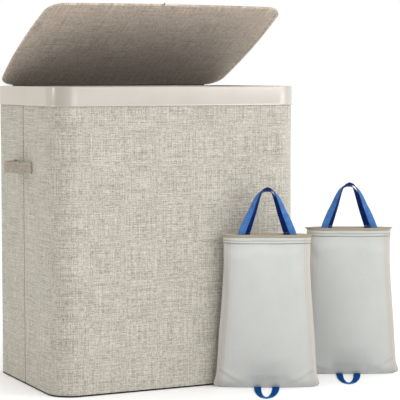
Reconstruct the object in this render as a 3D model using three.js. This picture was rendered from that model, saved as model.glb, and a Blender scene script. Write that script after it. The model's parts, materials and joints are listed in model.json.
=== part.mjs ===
// Laundry hamper with two compartments, a hinged lid and two removable liner bags.
// Millimetres, +Z up. The origin is the centre of the hamper's base, on the floor.
// +X runs to the right along the front, and the front faces -Y.
import * as THREE from 'three';

// Hamper body
const bodyWidth = 560;
const bodyDepth = 372;
const bodyHeight = 630;
const cornerRadius = 52;
const coverThickness = 1.2;
const boardThickness = 3;
const liningThickness = 0.8;
const seatGap = 0.3;
const seamGap = 2.4;
const seamPipingWidth = 1.8;
const seamPipingSetback = 0.3;

// Base
const baseThickness = 3;
const bindingThickness = 0.9;
const bindingLift = 0.4;
const floorPanelThickness = 3;

// Top rim, a moulded channel that caps the walls
const rimHeight = 40;
const rimSkirtThickness = 1.5;
const rimTopThickness = 2.4;
const rimWidth = 15;
const rimLipThickness = 2;
const rimLipHeight = 22;
const rimEdgeRadius = 1.4;
const rimFootBead = 0.6;
const rimFootBeadHeight = 2.4;

// Divider between the two compartments
const dividerHeight = 545;
const dividerThickness = 3.5;
const channelWidth = 26;
const channelThickness = 1;
const channelLipDepth = 9;
const channelPlay = 0.4;
const dividerTapeHeight = 14;
const dividerTapeThickness = 0.8;

// Strips that hold the bags' mouths inside the hamper
const hookStripWidth = 80;
const hookStripHeight = 20;
const hookStripThickness = 1.2;
const hookStripDrop = 34;

// Side handles
const handleSpan = 110;
const handleTab = 13;
const handleBow = 39;
const handleHeight = 24;
const handleThickness = 2.6;
const handleCentreHeight = 461.5;

// Lid
const lidWidth = 553.6;
const lidDepth = 364.4;
const lidCornerRadius = 34;
const lidSideBow = 9.5;
const lidFrontBow = 4.3;
const lidBackBow = 1.5;
const lidThickness = 6;
const lidCoverThickness = 1.2;
const lidHemWidth = 8;
const lidEdgeRadius = 1.6;
const lidOpenAngle = THREE.MathUtils.degToRad(27.16);
const hingeSetback = 1.5;
const hingeTapeWidth = 470;
const hingeTapeThickness = 0.8;
const hingeTapeDrop = 22;
const hingeTapeTopGap = 3;
const hingeTapeLidStart = 2.2;

// Liner bags
const bagHeight = 322;
const bagEarWidth = 224;
const bagBellyDepth = 50;
const bagWall = 1.2;
const bagFloor = 1.6;
const bagBindingHeight = 8;
const bagBindingThickness = 1.2;
const bagBindingFlareAtEnds = 6.5;
const bagBindingFlareAtFront = 2.5;
const bagHemHeight = 10;
const bagHemThickness = 0.8;
const bagTurn = THREE.MathUtils.degToRad(-25.9);

// Where the bags stand: bag 1 before the front, and bag 2 past its right end
const firstBagInFromSide = 113;
const firstBagFrontClearance = 64;
const secondBagOutFromSide = 121;
const secondBagFrontClearance = 5;

// Webbing on the bags
const webbingWidth = 15;
const webbingThickness = 1.6;
const frontHandleSpacing = 107;
const backHandleSpacing = 85;
const frontHandleCrownHeight = 94;
const backHandleCrownHeight = 90;
const bagFootGap = 0.5;
const bagHandlePivotLift = 1.6;
const bagHandleFoot = 30;
const bagHandleTopTwist = THREE.MathUtils.degToRad(118);
const loopLength = 118;
const loopSpacing = 38;
const loopGap = 1.1;

// How finely the round stretches are divided
const cornerSteps = 8;
const lidSideSteps = 8;
const bagRingSteps = 32;
const strapSteps = 22;

// Heights of the liner bag's cross-sections as shares of its height, with each
// section's width as a share of the width across the ears, its depth as a share of
// the belly's depth, and how flat its two faces are.
const bagSectionShares = [
  { height: 0, width: 0.9, depth: 0.5, flatness: 3 },
  { height: 0.016, width: 1, depth: 0.6, flatness: 2.4 },
  { height: 0.085, width: 0.953, depth: 0.84, flatness: 2 },
  { height: 0.2, width: 0.93, depth: 0.96, flatness: 2 },
  { height: 0.363, width: 0.902, depth: 1, flatness: 2 },
  { height: 0.5, width: 0.87, depth: 0.95, flatness: 2.1 },
  { height: 0.64, width: 0.84, depth: 0.86, flatness: 2.4 },
  { height: 0.8, width: 0.818, depth: 0.74, flatness: 3.2 },
  { height: 0.9, width: 0.81, depth: 0.66, flatness: 4.4 },
];
const bagMouthShare = { width: 0.808, depth: 0.62, flatness: 6 };

// The bag handle's path from foot to crown: distance from the middle as a share of the
// foot's, rise as a share of the crown's, and twist as a share of the twist at the crown.
const handlePathShares = [
  { out: 1, rise: 0, twist: 0 },
  { out: 0.79, rise: 0.3, twist: 0.16 },
  { out: 0.64, rise: 0.49, twist: 0.34 },
  { out: 0.475, rise: 0.72, twist: 0.48 },
  { out: 0.335, rise: 0.87, twist: 0.62 },
  { out: 0.17, rise: 0.97, twist: 0.85 },
  { out: 0, rise: 1, twist: 1 },
];

const linenColour = 0xcfc8b9;
const boardColour = 0x8d7f6a;
const rimColour = 0xd8d1c6;
const darkColour = 0x1d1a18;
const liningColour = 0x6d6459;
const lidColour = 0x8f867a;
const bagColour = 0xdcdcd8;
const bindingColour = 0xa39a89;
const webbingColour = 0x2f62c0;
const hookColour = 0xbdb5a6;

const hamper = new THREE.Group();

function addPiece(parent, name, geometry, colour, roughness = 0.85) {
  const material = new THREE.MeshStandardMaterial({ color: colour, roughness, metalness: 0 });
  const piece = new THREE.Mesh(geometry, material);
  piece.name = name;
  parent.add(piece);
  return piece;
}

// A closed outline of a rounded rectangle, anticlockwise. Its sides can bow outwards.
function roundedOutline({
  width, depth, radius, sideBow = 0, frontBow = 0, backBow = 0, sideSteps = 1,
}) {
  const halfWidth = width / 2 - sideBow;
  const halfDepth = (depth - frontBow - backBow) / 2;
  const cornerCentres = [
    [halfWidth - radius, radius - halfDepth],
    [halfWidth - radius, halfDepth - radius],
    [radius - halfWidth, halfDepth - radius],
    [radius - halfWidth, radius - halfDepth],
  ];
  const corner = (index, step) => {
    const angle = (Math.PI / 2) * ((index % 4) - 1 + step / cornerSteps);
    const [x, y] = cornerCentres[index % 4];
    return new THREE.Vector2(x + radius * Math.cos(angle), y + radius * Math.sin(angle));
  };
  const outline = [];
  for (let index = 0; index < 4; index += 1) {
    for (let step = 0; step <= cornerSteps; step += 1) outline.push(corner(index, step));
    const start = corner(index, cornerSteps);
    const end = corner(index + 1, 0);
    for (let step = 1; step < sideSteps; step += 1) {
      outline.push(start.clone().lerp(end, step / sideSteps));
    }
  }
  for (const point of outline) {
    const across = point.x / halfWidth;
    const along = point.y / halfDepth;
    point.x += sideBow * across * (1 - along * along);
    point.y += (along < 0 ? frontBow : backBow) * along * (1 - across * across);
  }
  return outline;
}

function bodyOutline(inset) {
  return roundedOutline({
    width: bodyWidth - 2 * inset,
    depth: bodyDepth - 2 * inset,
    radius: cornerRadius - inset,
  });
}

// The lid's outline lies in the lid's own frame: the hinge edge is at y = 0.
function lidOutline(inset) {
  const outline = roundedOutline({
    width: lidWidth - 2 * inset,
    depth: lidDepth - 2 * inset,
    radius: lidCornerRadius - inset,
    sideBow: lidSideBow,
    frontBow: lidFrontBow,
    backBow: lidBackBow,
    sideSteps: lidSideSteps,
  });
  const hingeEdge = (lidDepth - lidFrontBow + lidBackBow) / 2;
  return outline.map((point) => new THREE.Vector2(point.x, point.y - hingeEdge));
}

function ringAt(outline, z) {
  return outline.map((point) => new THREE.Vector3(point.x, point.y, z));
}

// Joins rings of equally many points into one closed solid. A loop joins the last ring
// to the first; otherwise both ends are capped.
function solidFromRings(rings, isLoop = false) {
  const count = rings[0].length;
  const points = rings.flat();
  const faces = [];
  const ringPairs = isLoop ? rings.length : rings.length - 1;
  for (let ring = 0; ring < ringPairs; ring += 1) {
    const lower = ring * count;
    const upper = ((ring + 1) % rings.length) * count;
    for (let index = 0; index < count; index += 1) {
      const next = (index + 1) % count;
      faces.push([lower + index, lower + next, upper + next]);
      faces.push([lower + index, upper + next, upper + index]);
    }
  }
  if (!isLoop) {
    const addCap = (first, reversed) => {
      const centre = new THREE.Vector3();
      for (let index = 0; index < count; index += 1) centre.add(points[first + index]);
      const middle = points.push(centre.divideScalar(count)) - 1;
      for (let index = 0; index < count; index += 1) {
        const next = (index + 1) % count;
        const edge = reversed ? [first + next, first + index] : [first + index, first + next];
        faces.push([...edge, middle]);
      }
    };
    addCap(0, true);
    addCap((rings.length - 1) * count, false);
  }
  const volume = faces.reduce((sum, [a, b, c]) => {
    return sum + points[a].dot(points[b].clone().cross(points[c]));
  }, 0);
  const outward = volume > 0 ? faces : faces.map(([a, b, c]) => [a, c, b]);
  const geometry = new THREE.BufferGeometry();
  geometry.setAttribute('position', new THREE.Float32BufferAttribute(
    points.flatMap((point) => point.toArray()), 3));
  geometry.setIndex(outward.flat());
  geometry.computeVertexNormals();
  return geometry;
}

// A wall that follows the body's outline all round.
function bodyRing(outerInset, innerInset, bottom, top) {
  return solidFromRings([
    ringAt(bodyOutline(outerInset), bottom),
    ringAt(bodyOutline(outerInset), top),
    ringAt(bodyOutline(innerInset), top),
    ringAt(bodyOutline(innerInset), bottom),
  ], true);
}

function bodyPlate(inset, bottom, top) {
  return solidFromRings([ringAt(bodyOutline(inset), bottom), ringAt(bodyOutline(inset), top)]);
}

// The front half of the wall: flat front, two bent corners, and half of each side.
function frontWrap(inset, thickness, gap, bottom, top) {
  const x = bodyWidth / 2 - inset;
  const y = bodyDepth / 2 - inset;
  const outer = cornerRadius - inset;
  const inner = outer - thickness;
  const end = -gap / 2;
  const shape = new THREE.Shape();
  shape.moveTo(-x, end);
  shape.lineTo(-x, outer - y);
  shape.absarc(outer - x, outer - y, outer, Math.PI, 1.5 * Math.PI, false);
  shape.lineTo(x - outer, -y);
  shape.absarc(x - outer, outer - y, outer, 1.5 * Math.PI, 2 * Math.PI, false);
  shape.lineTo(x, end);
  shape.lineTo(x - thickness, end);
  shape.lineTo(x - thickness, outer - y);
  shape.absarc(x - outer, outer - y, inner, 2 * Math.PI, 1.5 * Math.PI, true);
  shape.lineTo(outer - x, thickness - y);
  shape.absarc(outer - x, outer - y, inner, 1.5 * Math.PI, Math.PI, true);
  shape.lineTo(thickness - x, end);
  shape.closePath();
  const geometry = new THREE.ExtrudeGeometry(shape, {
    depth: top - bottom, bevelEnabled: false, curveSegments: cornerSteps / 2,
  });
  return geometry.translate(0, 0, bottom);
}

// Where each layer of the wall lies, counted inwards from the cover's outer face.
const boardInset = coverThickness + seatGap;
const liningInset = boardInset + boardThickness + seatGap;
const insideInset = liningInset + liningThickness;
const wallBottom = baseThickness + seatGap;
const wallTop = bodyHeight - rimTopThickness - seatGap;
const floorPanelTop = wallBottom + floorPanelThickness;

function addBase() {
  const boardInsetAtBase = bindingThickness + seatGap;
  addPiece(hamper, 'base_board', bodyPlate(boardInsetAtBase, 0, baseThickness), darkColour);
  addPiece(hamper, 'base_binding',
    bodyRing(0, bindingThickness, bindingLift, baseThickness), darkColour);
  addPiece(hamper, 'floor_panel',
    bodyPlate(insideInset + seatGap, wallBottom, floorPanelTop), liningColour);
}

function addWalls() {
  const cover = () => frontWrap(0, coverThickness, seamGap, wallBottom, wallTop);
  const board = () => frontWrap(boardInset, boardThickness, seatGap, wallBottom, wallTop);
  addPiece(hamper, 'front_cover', cover(), linenColour, 0.95);
  addPiece(hamper, 'back_cover', cover().rotateZ(Math.PI), linenColour, 0.95);
  addPiece(hamper, 'front_board', board(), boardColour);
  addPiece(hamper, 'back_board', board().rotateZ(Math.PI), boardColour);
  addPiece(hamper, 'inner_lining',
    bodyRing(liningInset, insideInset, wallBottom, wallTop), liningColour, 0.95);
  const pipingThickness = coverThickness - seamPipingSetback;
  const pipingHeight = wallTop - wallBottom;
  for (const [name, side] of [['left_seam_piping', -1], ['right_seam_piping', 1]]) {
    const piping = new THREE.BoxGeometry(pipingThickness, seamPipingWidth, pipingHeight);
    const x = bodyWidth / 2 - seamPipingSetback - pipingThickness / 2;
    piping.translate(side * x, 0, wallBottom + pipingHeight / 2);
    addPiece(hamper, name, piping, liningColour);
  }
}

// The rim's section runs once round the channel: [distance outside the body, height].
function rimSection() {
  const skirtInside = seatGap;
  const skirtOutside = skirtInside + rimSkirtThickness;
  const lipInside = skirtOutside - rimWidth;
  const top = bodyHeight;
  const skirtFoot = top - rimHeight;
  const ceiling = top - rimTopThickness;
  const lipFoot = top - rimLipHeight;
  const edge = (x, z, from) => [0, 1, 2].map((step) => {
    const angle = from - (Math.PI / 4) * step;
    return [x + rimEdgeRadius * Math.cos(angle), z + rimEdgeRadius * Math.sin(angle)];
  });
  return [
    [skirtInside, skirtFoot],
    [skirtInside, ceiling],
    [lipInside + rimLipThickness, ceiling],
    [lipInside + rimLipThickness, lipFoot],
    [lipInside, lipFoot],
    ...edge(lipInside + rimEdgeRadius, top - rimEdgeRadius, Math.PI),
    ...edge(skirtOutside - rimEdgeRadius, top - rimEdgeRadius, Math.PI / 2),
    [skirtOutside, skirtFoot + 2 * rimFootBeadHeight],
    [skirtOutside + rimFootBead, skirtFoot + rimFootBeadHeight],
    [skirtOutside + rimFootBead, skirtFoot],
  ];
}

function addRim() {
  const rings = rimSection().map(([outside, z]) => ringAt(bodyOutline(-outside), z));
  addPiece(hamper, 'top_rim', solidFromRings(rings, true), rimColour, 0.45);
}

// A sewn channel for the divider's edge: a flat tape with two lips standing inwards.
function channelShape() {
  const halfSlot = dividerThickness / 2 + channelPlay;
  const lipOutside = halfSlot + channelThickness;
  const shape = new THREE.Shape();
  shape.moveTo(-channelWidth / 2, 0);
  shape.lineTo(channelWidth / 2, 0);
  shape.lineTo(channelWidth / 2, channelThickness);
  shape.lineTo(lipOutside, channelThickness);
  shape.lineTo(lipOutside, channelLipDepth);
  shape.lineTo(halfSlot, channelLipDepth);
  shape.lineTo(halfSlot, channelThickness);
  shape.lineTo(-halfSlot, channelThickness);
  shape.lineTo(-halfSlot, channelLipDepth);
  shape.lineTo(-lipOutside, channelLipDepth);
  shape.lineTo(-lipOutside, channelThickness);
  shape.lineTo(-channelWidth / 2, channelThickness);
  shape.closePath();
  return shape;
}

function addDivider() {
  const bottom = floorPanelTop + seatGap;
  const top = bottom + dividerHeight;
  const wallFace = bodyDepth / 2 - insideInset - seatGap;
  const channel = (turn) => {
    const geometry = new THREE.ExtrudeGeometry(channelShape(), {
      depth: dividerHeight - dividerTapeHeight, bevelEnabled: false,
    });
    return geometry.translate(0, -wallFace, bottom).rotateZ(turn);
  };
  addPiece(hamper, 'divider_front_channel', channel(0), liningColour);
  addPiece(hamper, 'divider_back_channel', channel(Math.PI), liningColour);
  const panelDepth = 2 * (wallFace - channelThickness - seatGap);
  const panel = new THREE.BoxGeometry(dividerThickness, panelDepth, dividerHeight);
  addPiece(hamper, 'divider_panel',
    panel.translate(0, 0, bottom + dividerHeight / 2), liningColour);
  const halfInside = dividerThickness / 2 + seatGap;
  const halfOutside = halfInside + dividerTapeThickness;
  const tapeTop = top + seatGap + dividerTapeThickness;
  const tapeFoot = top - dividerTapeHeight + seatGap;
  const shape = new THREE.Shape();
  shape.moveTo(-halfOutside, tapeFoot);
  shape.lineTo(-halfInside, tapeFoot);
  shape.lineTo(-halfInside, top + seatGap);
  shape.lineTo(halfInside, top + seatGap);
  shape.lineTo(halfInside, tapeFoot);
  shape.lineTo(halfOutside, tapeFoot);
  shape.lineTo(halfOutside, tapeTop);
  shape.lineTo(-halfOutside, tapeTop);
  shape.closePath();
  const tape = new THREE.ExtrudeGeometry(shape, { depth: panelDepth, bevelEnabled: false });
  tape.rotateX(Math.PI / 2).translate(0, panelDepth / 2, 0);
  addPiece(hamper, 'divider_top_tape', tape, darkColour);
}

function addHookStrips() {
  const insideWidth = bodyWidth / 2 - insideInset;
  const centreHeight = bodyHeight - rimLipHeight - hookStripDrop;
  const y = bodyDepth / 2 - insideInset - seatGap - hookStripThickness / 2;
  for (const [side, x] of [['left', -insideWidth / 2], ['right', insideWidth / 2]]) {
    for (const [end, face] of [['front', -1], ['back', 1]]) {
      const strip = new THREE.BoxGeometry(hookStripWidth, hookStripThickness, hookStripHeight);
      strip.translate(x, face * y, centreHeight);
      addPiece(hamper, `${side}_${end}_hook_strip`, strip, hookColour);
    }
  }
}

// A flat strap swept along stations that each have a place, a direction across the
// strap and a direction through its thickness.
function strapSolid(stations, width, thickness) {
  const rings = stations.map(({ place, across, through }) => {
    const corner = (side, face) => place.clone()
      .addScaledVector(across, (side * width) / 2)
      .addScaledVector(through, (face * thickness) / 2);
    return [corner(-1, -1), corner(1, -1), corner(1, 1), corner(-1, 1)];
  });
  return solidFromRings(rings);
}

// The side handle lies flat on the wall at both ends and bows outwards between them.
function sideHandle() {
  const up = new THREE.Vector3(0, 0, 1);
  const wall = bodyWidth / 2 + seatGap + handleThickness / 2;
  const bowHalf = handleSpan / 2 - handleTab;
  const bowAt = (y) => {
    const share = Math.min(Math.abs(y) / bowHalf, 1);
    return handleBow * Math.cos((Math.PI / 2) * share) ** 2;
  };
  const placeAt = (y) => new THREE.Vector3(wall + bowAt(y), y, handleCentreHeight);
  const tabEnds = [-handleSpan / 2, handleSpan / 2];
  const steps = Array.from({ length: strapSteps + 1 }, (_, step) => {
    return bowHalf * ((2 * step) / strapSteps - 1);
  });
  const places = [tabEnds[0], ...steps, tabEnds[1]].map(placeAt);
  const stations = places.map((place, index) => {
    const before = places[Math.max(index - 1, 0)];
    const after = places[Math.min(index + 1, places.length - 1)];
    const along = after.clone().sub(before).normalize();
    const isTab = index < 2 || index > places.length - 3;
    const through = isTab ? new THREE.Vector3(1, 0, 0) : along.cross(up);
    return { place, across: up, through };
  });
  return strapSolid(stations, handleHeight, handleThickness);
}

function addSideHandles() {
  addPiece(hamper, 'right_handle', sideHandle(), linenColour, 0.95);
  addPiece(hamper, 'left_handle', sideHandle().rotateZ(Math.PI), linenColour, 0.95);
}

// The lid is built closed, in its own frame, and the group then opens it.
function addLid() {
  const lid = new THREE.Group();
  lid.position.set(0, bodyDepth / 2 + hingeSetback, bodyHeight + seatGap);
  lid.rotation.x = -lidOpenAngle;
  hamper.add(lid);
  const top = lidThickness;
  const pocketInset = lidCoverThickness;
  const round = lidEdgeRadius;
  const edge = [0, 1, 2].map((step) => {
    const angle = (Math.PI / 4) * step;
    return [round - round * Math.cos(angle), top - round + round * Math.sin(angle)];
  });
  const coverSection = [
    ...edge.reverse(),
    [0, 0],
    [lidHemWidth, 0],
    [lidHemWidth, lidCoverThickness],
    [pocketInset, lidCoverThickness],
    [pocketInset, top - lidCoverThickness],
  ];
  const coverRings = coverSection.map(([inset, z]) => ringAt(lidOutline(inset), z));
  addPiece(lid, 'lid_cover', solidFromRings(coverRings), lidColour, 0.95);
  const plate = (inset, bottom, upper) => solidFromRings([
    ringAt(lidOutline(inset), bottom),
    ringAt(lidOutline(inset), upper),
  ]);
  const boardBottom = lidCoverThickness + seatGap;
  const boardTop = top - lidCoverThickness - seatGap;
  addPiece(lid, 'lid_board', plate(pocketInset + seatGap, boardBottom, boardTop), boardColour);
  addPiece(lid, 'lid_lining',
    plate(lidHemWidth + seatGap, 0, lidCoverThickness), lidColour, 0.95);
  const tapeHeight = lidThickness - lidEdgeRadius - hingeTapeLidStart;
  const lidTape = new THREE.BoxGeometry(hingeTapeWidth, hingeTapeThickness, tapeHeight);
  lidTape.translate(0, seatGap + hingeTapeThickness / 2, hingeTapeLidStart + tapeHeight / 2);
  addPiece(lid, 'hinge_tape_lid', lidTape, darkColour);
}

function addHingeTapeOnRim() {
  const tapeHeight = hingeTapeDrop - hingeTapeTopGap;
  const rimBack = bodyDepth / 2 + seatGap + rimSkirtThickness;
  const tape = new THREE.BoxGeometry(hingeTapeWidth, hingeTapeThickness, tapeHeight);
  tape.translate(0, rimBack + seatGap + hingeTapeThickness / 2,
    bodyHeight - hingeTapeTopGap - tapeHeight / 2);
  addPiece(hamper, 'hinge_tape_rim', tape, darkColour);
}

// One cross-section of the liner bag: two faces that meet in a pointed edge at each side.
function bagRing(z, width, depth, flatness, inset = 0) {
  return Array.from({ length: bagRingSteps }, (_, step) => {
    const angle = (2 * Math.PI * step) / bagRingSteps;
    const across = Math.cos(angle);
    const bulge = Math.sign(Math.sin(angle)) * (1 - Math.abs(across) ** flatness);
    const isEnd = step % (bagRingSteps / 2) === 0;
    return new THREE.Vector3(
      (width / 2 - inset) * across,
      isEnd ? 0 : (depth / 2 - inset) * bulge,
      z,
    );
  });
}

const bagMouthWidth = bagEarWidth * bagMouthShare.width;
const bagMouthDepth = bagBellyDepth * bagMouthShare.depth;
const bagBodyTop = bagHeight - bagBindingHeight - seatGap;
const bagHemBottom = bagBodyTop - bagHemHeight;

function bagBody() {
  const sections = bagSectionShares.map((share) => ({
    z: share.height * bagHeight,
    width: share.width * bagEarWidth,
    depth: share.depth * bagBellyDepth,
    flatness: share.flatness,
  }));
  for (const z of [bagHemBottom, bagBodyTop]) {
    sections.push({
      z, width: bagMouthWidth, depth: bagMouthDepth, flatness: bagMouthShare.flatness,
    });
  }
  const ring = ({ z, width, depth, flatness }, inset) => bagRing(z, width, depth, flatness, inset);
  const outside = sections.map((section) => ring(section, 0));
  const inside = sections.slice(1).map((section) => ring(section, bagWall)).reverse();
  const floorSection = { ...sections[0], z: bagFloor };
  return solidFromRings([...outside, ...inside, ring(floorSection, 2 * bagWall)]);
}

function bagMouthRing(z, outset, endOutset = outset) {
  return bagRing(z, bagMouthWidth + 2 * endOutset, bagMouthDepth + 2 * outset,
    bagMouthShare.flatness);
}

function addBagMouth(bag, name) {
  const hemInside = seatGap;
  const hemOutside = hemInside + bagHemThickness;
  addPiece(bag, `${name}_hem`, solidFromRings([
    bagMouthRing(bagHemBottom, hemOutside),
    bagMouthRing(bagBodyTop, hemOutside),
    bagMouthRing(bagBodyTop, hemInside),
    bagMouthRing(bagHemBottom, hemInside),
  ], true), bagColour, 0.9);
  const bottom = bagBodyTop + seatGap;
  const thickness = bagBindingThickness;
  addPiece(bag, `${name}_mouth_binding`, solidFromRings([
    bagMouthRing(bottom, 0),
    bagMouthRing(bagHeight, bagBindingFlareAtFront, bagBindingFlareAtEnds),
    bagMouthRing(bagHeight, bagBindingFlareAtFront - thickness, bagBindingFlareAtEnds - thickness),
    bagMouthRing(bottom, -thickness),
  ], true), bindingColour);
}

// Half of a handle's path is written as shares; the other half mirrors it.
function bagHandle(spacing, rise, face) {
  const half = handlePathShares.map(({ out, rise: up, twist }) => ({
    x: (out * spacing) / 2, z: up * rise, twist: twist * bagHandleTopTwist,
  }));
  const left = half.map(({ x, z, twist }) => ({ x: -x, z, twist }));
  const right = half.slice(0, -1).reverse();
  const whole = [...left, ...right];
  const curve = new THREE.CatmullRomCurve3(
    whole.map(({ x, z }) => new THREE.Vector3(x, 0, z)), false, 'centripetal');
  const twistAt = (share) => {
    const scaled = share * (whole.length - 1);
    const index = Math.min(Math.floor(scaled), whole.length - 2);
    return THREE.MathUtils.lerp(whole[index].twist, whole[index + 1].twist, scaled - index);
  };
  const stations = Array.from({ length: 2 * strapSteps + 1 }, (_, step) => {
    const share = step / (2 * strapSteps);
    const place = curve.getPoint(share);
    const along = curve.getTangent(share);
    const isEnd = step === 0 || step === 2 * strapSteps;
    const outwards = new THREE.Vector3(-along.z, 0, isEnd ? 0 : along.x).normalize();
    const twist = twistAt(share);
    const across = outwards.clone().multiplyScalar(Math.cos(twist));
    across.y = -face * Math.sin(twist);
    const through = across.clone().cross(along).normalize();
    return { place, across, through };
  });
  return strapSolid(stations, webbingWidth, webbingThickness);
}

const bagHandlePivot = bagHeight + bagHandlePivotLift;

// How far the inner face of the mouth lies from the bag's middle plane.
function bagMouthFace(x) {
  const share = x / (bagMouthWidth / 2 - bagWall);
  return (bagMouthDepth / 2 - bagWall) * (1 - share ** bagMouthShare.flatness);
}

function addBagHandles(bag, name) {
  const kinds = [
    { part: 'front_handle', face: -1, spacing: frontHandleSpacing, rise: frontHandleCrownHeight },
    { part: 'back_handle', face: 1, spacing: backHandleSpacing, rise: backHandleCrownHeight },
  ];
  for (const { part, face, spacing, rise } of kinds) {
    const wallFace = bagMouthFace((spacing + webbingWidth) / 2);
    const y = face * (wallFace - bagFootGap - webbingThickness / 2);
    const strap = bagHandle(spacing, rise, face).translate(0, y, bagHandlePivot);
    addPiece(bag, `${name}_${part}`, strap, webbingColour, 0.7);
    const footTop = bagHandlePivot - seatGap;
    const footHeight = bagHandleFoot + footTop - bagHeight;
    for (const [side, x] of [['left', -spacing / 2], ['right', spacing / 2]]) {
      const foot = new THREE.BoxGeometry(webbingWidth, webbingThickness, footHeight);
      foot.translate(x, y, footTop - footHeight / 2);
      addPiece(bag, `${name}_${part}_${side}_foot`, foot, webbingColour, 0.7);
    }
  }
}

// The bottom pull loop lies flat on the floor in front of the bag.
function bagLoop() {
  const bottomSection = bagSectionShares[0];
  const attachShare = loopSpacing / (bottomSection.width * bagEarWidth);
  const bulge = 1 - attachShare ** bottomSection.flatness;
  const start = -(bottomSection.depth * bagBellyDepth * bulge) / 2 - loopGap;
  const halfSpacing = loopSpacing / 2;
  const bend = loopLength - halfSpacing - webbingWidth / 2;
  const outline = (side) => {
    const radius = halfSpacing + (side * webbingWidth) / 2;
    const points = [[-radius, start]];
    for (let step = 0; step <= strapSteps / 2; step += 1) {
      const angle = Math.PI + (2 * Math.PI * step) / strapSteps;
      points.push([radius * Math.cos(angle), start - bend + radius * Math.sin(angle)]);
    }
    points.push([radius, start]);
    return points;
  };
  const shape = new THREE.Shape();
  const outer = outline(1);
  const inner = outline(-1).reverse();
  shape.moveTo(...outer[0]);
  for (const [x, y] of [...outer.slice(1), ...inner]) shape.lineTo(x, y);
  shape.closePath();
  return new THREE.ExtrudeGeometry(shape, { depth: webbingThickness, bevelEnabled: false });
}

function addBag({ name, x, y }) {
  const bag = new THREE.Group();
  bag.position.set(x, y, 0);
  bag.rotation.z = bagTurn;
  hamper.add(bag);
  addPiece(bag, `${name}_body`, bagBody(), bagColour, 0.9);
  addBagMouth(bag, name);
  addBagHandles(bag, name);
  addPiece(bag, `${name}_bottom_loop`, bagLoop(), webbingColour, 0.7);
}

addBase();
addWalls();
addRim();
addDivider();
addHookStrips();
addSideHandles();
addLid();
addHingeTapeOnRim();
addBag({
  name: 'bag_1',
  x: bodyWidth / 2 - firstBagInFromSide,
  y: -bodyDepth / 2 - firstBagFrontClearance,
});
addBag({
  name: 'bag_2',
  x: bodyWidth / 2 + secondBagOutFromSide,
  y: -bodyDepth / 2 - secondBagFrontClearance,
});

export default hamper;
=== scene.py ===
# Looks for a laundry hamper with a hinged lid and two liner bags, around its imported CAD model.
# Metres, +Z up, in the CAD model's frame: the hamper's front faces -Y.
import json
import math

import bmesh
import bpy
import numpy as np
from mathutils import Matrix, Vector

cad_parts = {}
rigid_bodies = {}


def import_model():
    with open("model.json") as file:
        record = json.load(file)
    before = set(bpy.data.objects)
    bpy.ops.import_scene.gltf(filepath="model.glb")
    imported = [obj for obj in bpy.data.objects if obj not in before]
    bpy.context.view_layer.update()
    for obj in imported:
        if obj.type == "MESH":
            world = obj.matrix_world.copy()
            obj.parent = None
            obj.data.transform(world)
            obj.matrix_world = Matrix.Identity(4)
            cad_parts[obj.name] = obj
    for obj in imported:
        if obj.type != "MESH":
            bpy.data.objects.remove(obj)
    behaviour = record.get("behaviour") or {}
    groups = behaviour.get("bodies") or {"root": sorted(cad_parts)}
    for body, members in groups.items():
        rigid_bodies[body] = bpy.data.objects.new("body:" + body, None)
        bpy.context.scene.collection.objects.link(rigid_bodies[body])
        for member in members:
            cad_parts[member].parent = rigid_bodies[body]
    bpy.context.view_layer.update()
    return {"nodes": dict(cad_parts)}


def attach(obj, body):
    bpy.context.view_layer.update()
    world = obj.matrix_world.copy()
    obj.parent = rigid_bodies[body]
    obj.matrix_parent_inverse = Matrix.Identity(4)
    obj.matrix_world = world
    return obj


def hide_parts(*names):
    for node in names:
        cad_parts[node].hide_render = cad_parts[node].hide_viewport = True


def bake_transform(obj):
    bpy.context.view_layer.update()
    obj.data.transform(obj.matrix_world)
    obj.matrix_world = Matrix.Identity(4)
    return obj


MM = 0.001

# The hamper, as in the CAD model
BODY_WIDTH = 560 * MM
BODY_DEPTH = 372 * MM
BODY_SIZE = (BODY_WIDTH, BODY_DEPTH)
BODY_HEIGHT = 630 * MM
CORNER_RADIUS = 52 * MM
COVER_THICKNESS = 1.2 * MM
SEAT_GAP = 0.3 * MM
SEAM_GAP = 2.4 * MM
RIM_HEIGHT = 40 * MM
RIM_SKIRT = 1.5 * MM
RIM_TOP = 2.4 * MM
RIM_WIDTH = 15 * MM
RIM_LIP = 2 * MM
RIM_LIP_HEIGHT = 22 * MM
RIM_ROUND = 1.8 * MM
RIM_BEAD = 0.6 * MM
RIM_BEAD_HEIGHT = 2.4 * MM
HANDLE_SPAN = 110 * MM
HANDLE_TAB = 13 * MM
HANDLE_BOW = 39 * MM
HANDLE_HEIGHT = 24 * MM
HANDLE_THICKNESS = 2.6 * MM
HANDLE_CENTRE = 461.5 * MM

# Layers of the wall and the base, counted inwards from the cover
BOARD_THICKNESS = 3 * MM
LINING_THICKNESS = 0.8 * MM
LINING_INSET = COVER_THICKNESS + SEAT_GAP + BOARD_THICKNESS + SEAT_GAP
INSIDE_INSET = LINING_INSET + LINING_THICKNESS
BASE_THICKNESS = 3 * MM
BASE_TAPE_THICKNESS = 0.9 * MM
BASE_TAPE_LIFT = 0.4 * MM
FLOOR_PANEL_THICKNESS = 3 * MM
WALL_BOTTOM = BASE_THICKNESS + SEAT_GAP
WALL_TOP = BODY_HEIGHT - RIM_TOP - SEAT_GAP
FLOOR_TOP = WALL_BOTTOM + FLOOR_PANEL_THICKNESS

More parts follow.
